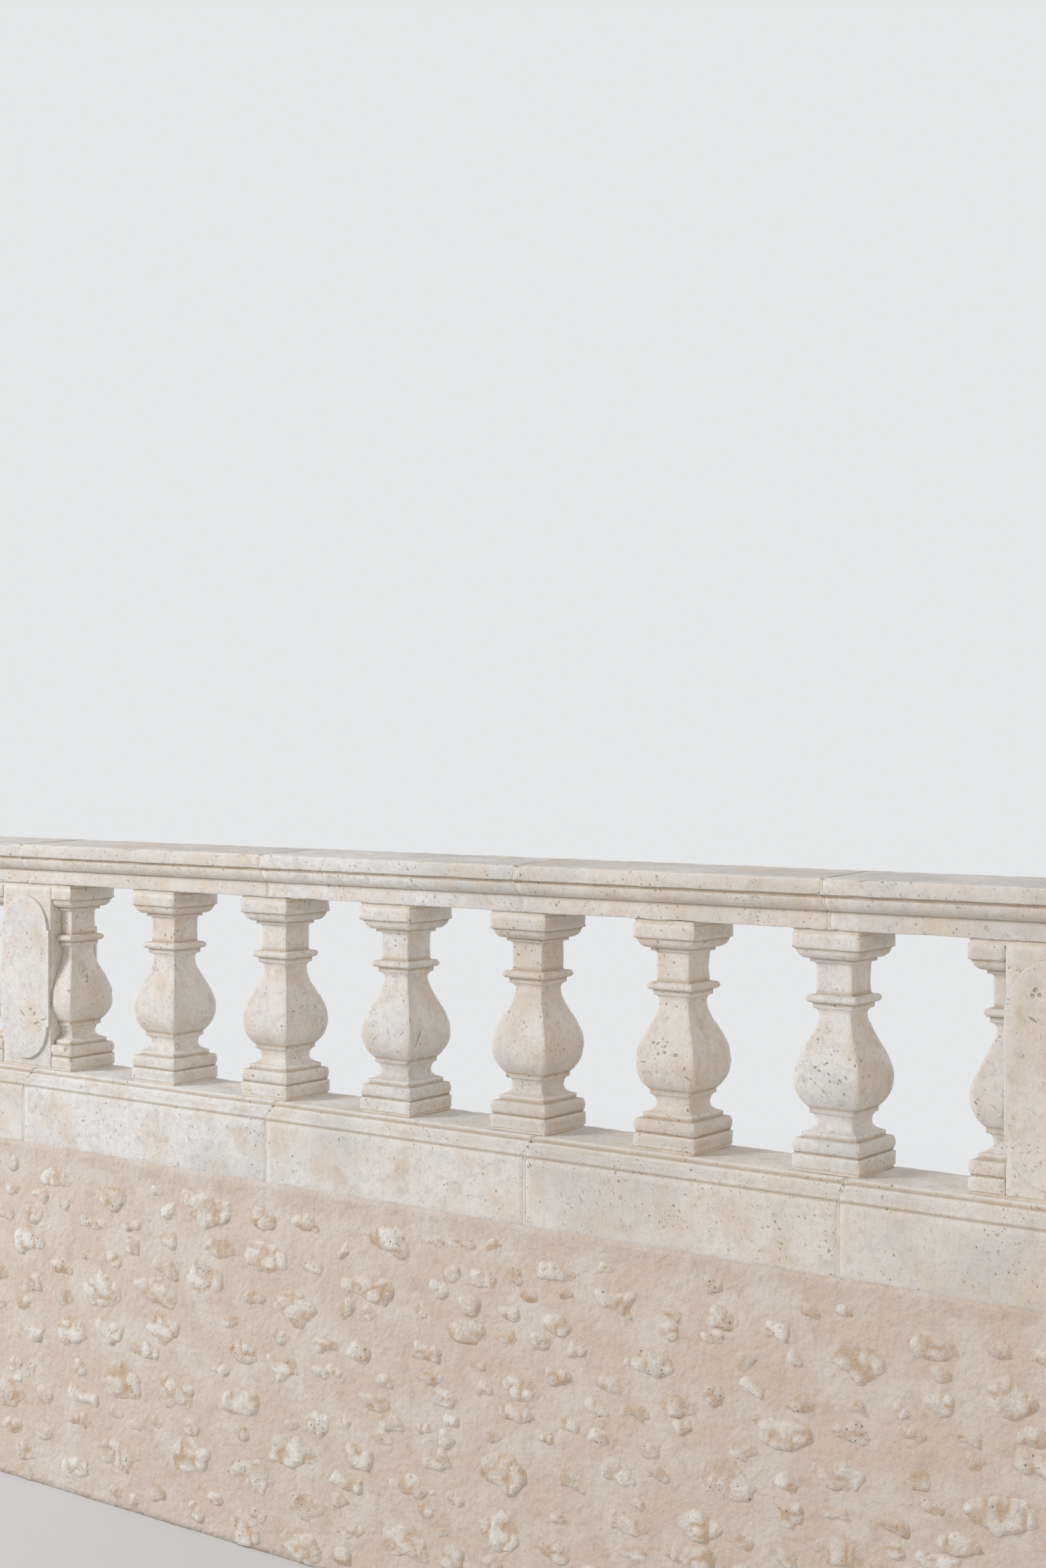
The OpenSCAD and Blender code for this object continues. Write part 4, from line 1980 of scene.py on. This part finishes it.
        height[:, [0, -1]] = -self.deep
        grid = np.arange((columns + 1) * (rows + 1)).reshape(columns + 1, rows + 1)
        rim = np.concatenate([grid[:-1, 0], grid[-1, :-1], grid[:0:-1, -1], grid[0, :0:-1]])
        faces = grid_to_faces(grid) + [tuple(rim[::-1].tolist())]
        # The creases, where the finish paints ochre stain and painted shade
        hollow = np.exp(-((crease / self.crease_noise) ** 2))
        points = np.column_stack([flat, height.ravel()])
        tone = rng.uniform(0.0, self.warmest)
        return Shell(points, faces, above, hollow, above * 0, tone, self.smeared)

    @staticmethod
    def _planes(
        rng: np.random.Generator,
        size: tuple[float, float],
        counts: tuple[int, int],
        reach: tuple[float, float],
    ) -> np.ndarray:
        """Draws planes that look outwards from a stone's middle, in turn all the way round.

        Args:
            rng: The wall's random numbers.
            size: The stone's width and height.
            counts: The least number of planes, and the number that they stay below.
            reach: The least and the greatest distance, where 1 is the stone's own size.

        Returns:
            One plane a row: its distance, then its direction along and up.
        """
        count = int(rng.integers(*counts))
        looking = (np.arange(count) + rng.uniform(-0.4, 0.4, count)) * 2 * math.pi / count
        towards = np.stack([np.cos(looking), np.sin(looking)], axis=1)
        own_size = np.hypot(towards[:, 0] * size[0] / 2, towards[:, 1] * size[1] / 2)
        return np.column_stack([own_size * rng.uniform(*reach, count), towards])


def tone_of(seed: int) -> float:
    """Returns how warm one stone is, from 0 to the warmest."""
    return float(np.random.default_rng(seed).uniform(0.0, WARMEST))


def course_shell(
    levels: Levels, low: Any, high: Any, half: float, reach: float, station: float, lap: float
) -> Shell:
    """Builds one stone of a course, whose mouldings return round the ends of the run.

    Args:
        levels: The course's levels.
        low: The stone's lowest corner.
        high: Its highest corner.
        half: Half of the course's width.
        reach: How far the course reaches from the middle of the run.
        station: The distance between stations along the run, in millimetres.
        lap: How far the stone reaches into the joint's width, in millimetres.

    Returns:
        The stone.
    """
    ends_left = abs(low.x + reach) < MM
    ends_right = abs(high.x - reach) < MM
    low_x = low.x + (half - levels.out) if ends_left else low.x - lap * MM
    high_x = high.x - (half - levels.out) if ends_right else high.x + lap * MM
    across = max(8, round((high.x - low.x) / (station * MM)))
    shell = Stack(levels, low_x, high_x, -levels.out, levels.out, across, 14).shell()
    for end, at_run_end in ((low_x, ends_left), (high_x, ends_right)):
        if not at_run_end:
            shell.room = np.minimum(shell.room, Levels.SEAT_ROOM + np.abs(shell.points[:, 0] - end) / 2)
    return shell


def islands(name: str) -> list[tuple[np.ndarray, np.ndarray]]:
    """Finds the separate solids of a node.

    Args:
        name: The node.

    Returns:
        The lowest and highest corner of each solid, from left to right.
    """
    mesh = bpy.data.objects[name].data
    points = np.array([vertex.co for vertex in mesh.vertices])
    faces = [points[list(face.vertices)] for face in mesh.polygons]
    found: list[tuple[np.ndarray, np.ndarray]] = []
    for face in sorted(faces, key=lambda corners: corners[:, 0].min()):
        low, high = face.min(axis=0), face.max(axis=0)
        if found and low[0] < found[-1][1][0] + MM:
            found[-1] = (np.minimum(found[-1][0], low), np.maximum(found[-1][1], high))
        else:
            found.append((low, high))
    return found


@dataclass(frozen=True)
class Studio:
    """A pale floor, a pale backdrop, soft lights and the photograph's camera."""

    camera_at: tuple[float, float, float] = (5.921, -5.0785, 2.5135)
    camera_turn: float = 37.17
    sensor: float = 36.0
    floor_colour: str = "#dcdcdb"
    backdrop: str = "#e6e7e8"
    sky: str = "#f1f4f8"
    floor_reach: float = 60.0
    fade: tuple[float, float] = (2.2, 7.5)

    def build(self) -> None:
        """Builds the floor, the lights and the camera."""
        self._floor()
        self._world()
        self._lamp("key", (-6.5, -9.0, 8.0), (0.6, 0.0, 1.3), 4.0, 1140.0, "#fbfbff")
        self._lamp("fill", (9.5, -5.0, 3.5), (1.5, 0.0, 1.5), 6.0, 130.0, "#ffdcb8")
        self._lamp("back", (3.0, 8.0, 6.0), (0.5, 0.0, 1.5), 6.0, 260.0, "#f8f9ff")
        self._camera()

    def _floor(self) -> None:
        """Lays the floor."""
        mesh = bpy.data.meshes.new("studio_floor")
        reach = self.floor_reach
        corners = [(-reach, -reach, 0), (reach, -reach, 0), (reach, reach, 0), (-reach, reach, 0)]
        mesh.from_pydata(corners, [], [(0, 1, 2, 3)])
        material, tree = new_tree("matt_studio_floor")
        place = add_node(tree, Kind.PLACE).outputs["Object"]
        # The floor shows twice as far along the run as across it, and fades into the backdrop
        near = add_node(tree, Kind.VECTOR, {0: place, 1: (0.5, 1.0, 0.0)}, operation="MULTIPLY").outputs[0]
        away = add_node(tree, Kind.VECTOR, {0: near}, operation="LENGTH").outputs["Value"]
        far = add_node(
            tree, Kind.RANGE, {"Value": away, "From Min": self.fade[0], "From Max": self.fade[1]},
            interpolation_type="SMOOTHSTEP",
        ).outputs["Result"]
        seen = add_node(tree, Kind.MATHS, {0: far, 1: self._seen(tree)}, operation="MULTIPLY").outputs[0]
        paper = add_node(tree, Kind.SURFACE, {"Base Color": linear(self.floor_colour), "Roughness": 0.9})
        glow = add_node(tree, Kind.GLOW, {"Color": linear(self.backdrop), "Strength": 1.0})
        mix = add_node(tree, Kind.EITHER, {0: seen, 1: paper.outputs[0], 2: glow.outputs[0]})
        add_node(tree, Kind.MATERIAL, {"Surface": mix.outputs[0]})
        mesh.materials.append(material)
        floor = bpy.data.objects.new("studio_floor", mesh)
        bpy.context.scene.collection.objects.link(floor)

    def _world(self) -> None:
        """Sets the soft light from all round, and the backdrop that the camera sees."""
        world = bpy.data.worlds.new("studio")
        world.use_nodes = True
        tree = world.node_tree
        tree.nodes.clear()
        light = add_node(tree, Kind.SKY, {"Color": linear(self.sky), "Strength": 0.44})
        shown = add_node(tree, Kind.SKY, {"Color": linear(self.backdrop), "Strength": 1.0})
        mix = add_node(tree, Kind.EITHER, {0: self._seen(tree), 1: light.outputs[0], 2: shown.outputs[0]})
        add_node(tree, Kind.WORLD, {"Surface": mix.outputs[0]})
        bpy.context.scene.world = world

    @staticmethod
    def _seen(tree: Tree) -> Socket:
        """Tells the rays by which the backdrop is seen: straight, in gloss or through glass.

        Args:
            tree: The node tree that asks.

        Returns:
            A socket that is 1 for those rays.
        """
        rays = add_node(tree, Kind.RAY).outputs
        seen = rays["Is Camera Ray"]
        for name in ("Is Glossy Ray", "Is Transmission Ray"):
            seen = add_node(tree, Kind.MATHS, {0: seen, 1: rays[name]}, operation="MAXIMUM").outputs[0]
        return seen

    def _lamp(
        self,
        name: str,
        at: tuple[float, float, float],
        towards: tuple[float, float, float],
        size: float,
        power: float,
        colour: str,
    ) -> None:
        """Hangs one soft lamp.

        Args:
            name: The lamp's name.
            at: Where it hangs.
            towards: The point that it lights.
            size: The width of its square face.
            power: Its power in watts.
            colour: Its colour.
        """
        lamp = bpy.data.lights.new(name, "AREA")
        lamp.size = size
        lamp.energy = power
        lamp.color = linear(colour)[:3]
        piece = bpy.data.objects.new(name, lamp)
        piece.location = at
        aim = Vector(towards) - Vector(at)
        piece.rotation_euler = aim.to_track_quat("-Z", "Y").to_euler()
        bpy.context.scene.collection.objects.link(piece)

    def _camera(self) -> None:
        """Stands the camera where the photograph was taken from."""
        camera = bpy.data.cameras.new("camera")
        camera.sensor_width = self.sensor
        camera.lens = PHOTO_FOCAL / PHOTO_HEIGHT * self.sensor
        camera.shift_y = (PHOTO_HORIZON - PHOTO_HEIGHT / 2) / PHOTO_HEIGHT
        piece = bpy.data.objects.new("camera", camera)
        piece.location = self.camera_at
        piece.rotation_euler = (math.pi / 2, 0.0, math.radians(self.camera_turn))
        bpy.context.scene.collection.objects.link(piece)
        bpy.context.scene.camera = piece


def set_view() -> None:
    """Sets the plain view transform."""
    bpy.context.scene.view_settings.view_transform = "Standard"


def main() -> None:
    """Builds the balustrade and its studio."""
    logging.basicConfig(level=logging.INFO, format="%(message)s")
    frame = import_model()
    solids = Solids(tuple(frame["nodes"]))
    limestone = LimestoneStock()
    mortar = LimeMortar().material()
    pointing = POINTING.material()
    plinth = PlinthCourse(solids, limestone)
    cap = CapCourse(solids, limestone)
    RubbleWall(pointing, RubbleStone().material()).build()
    plinth.build()
    BalusterRow(solids, limestone).build()
    PierRow(solids, limestone).build()
    cap.build()
    Mortar(mortar, plinth, cap).build()
    Studio().build()
    set_view()


if __name__ == "__main__":
    main()
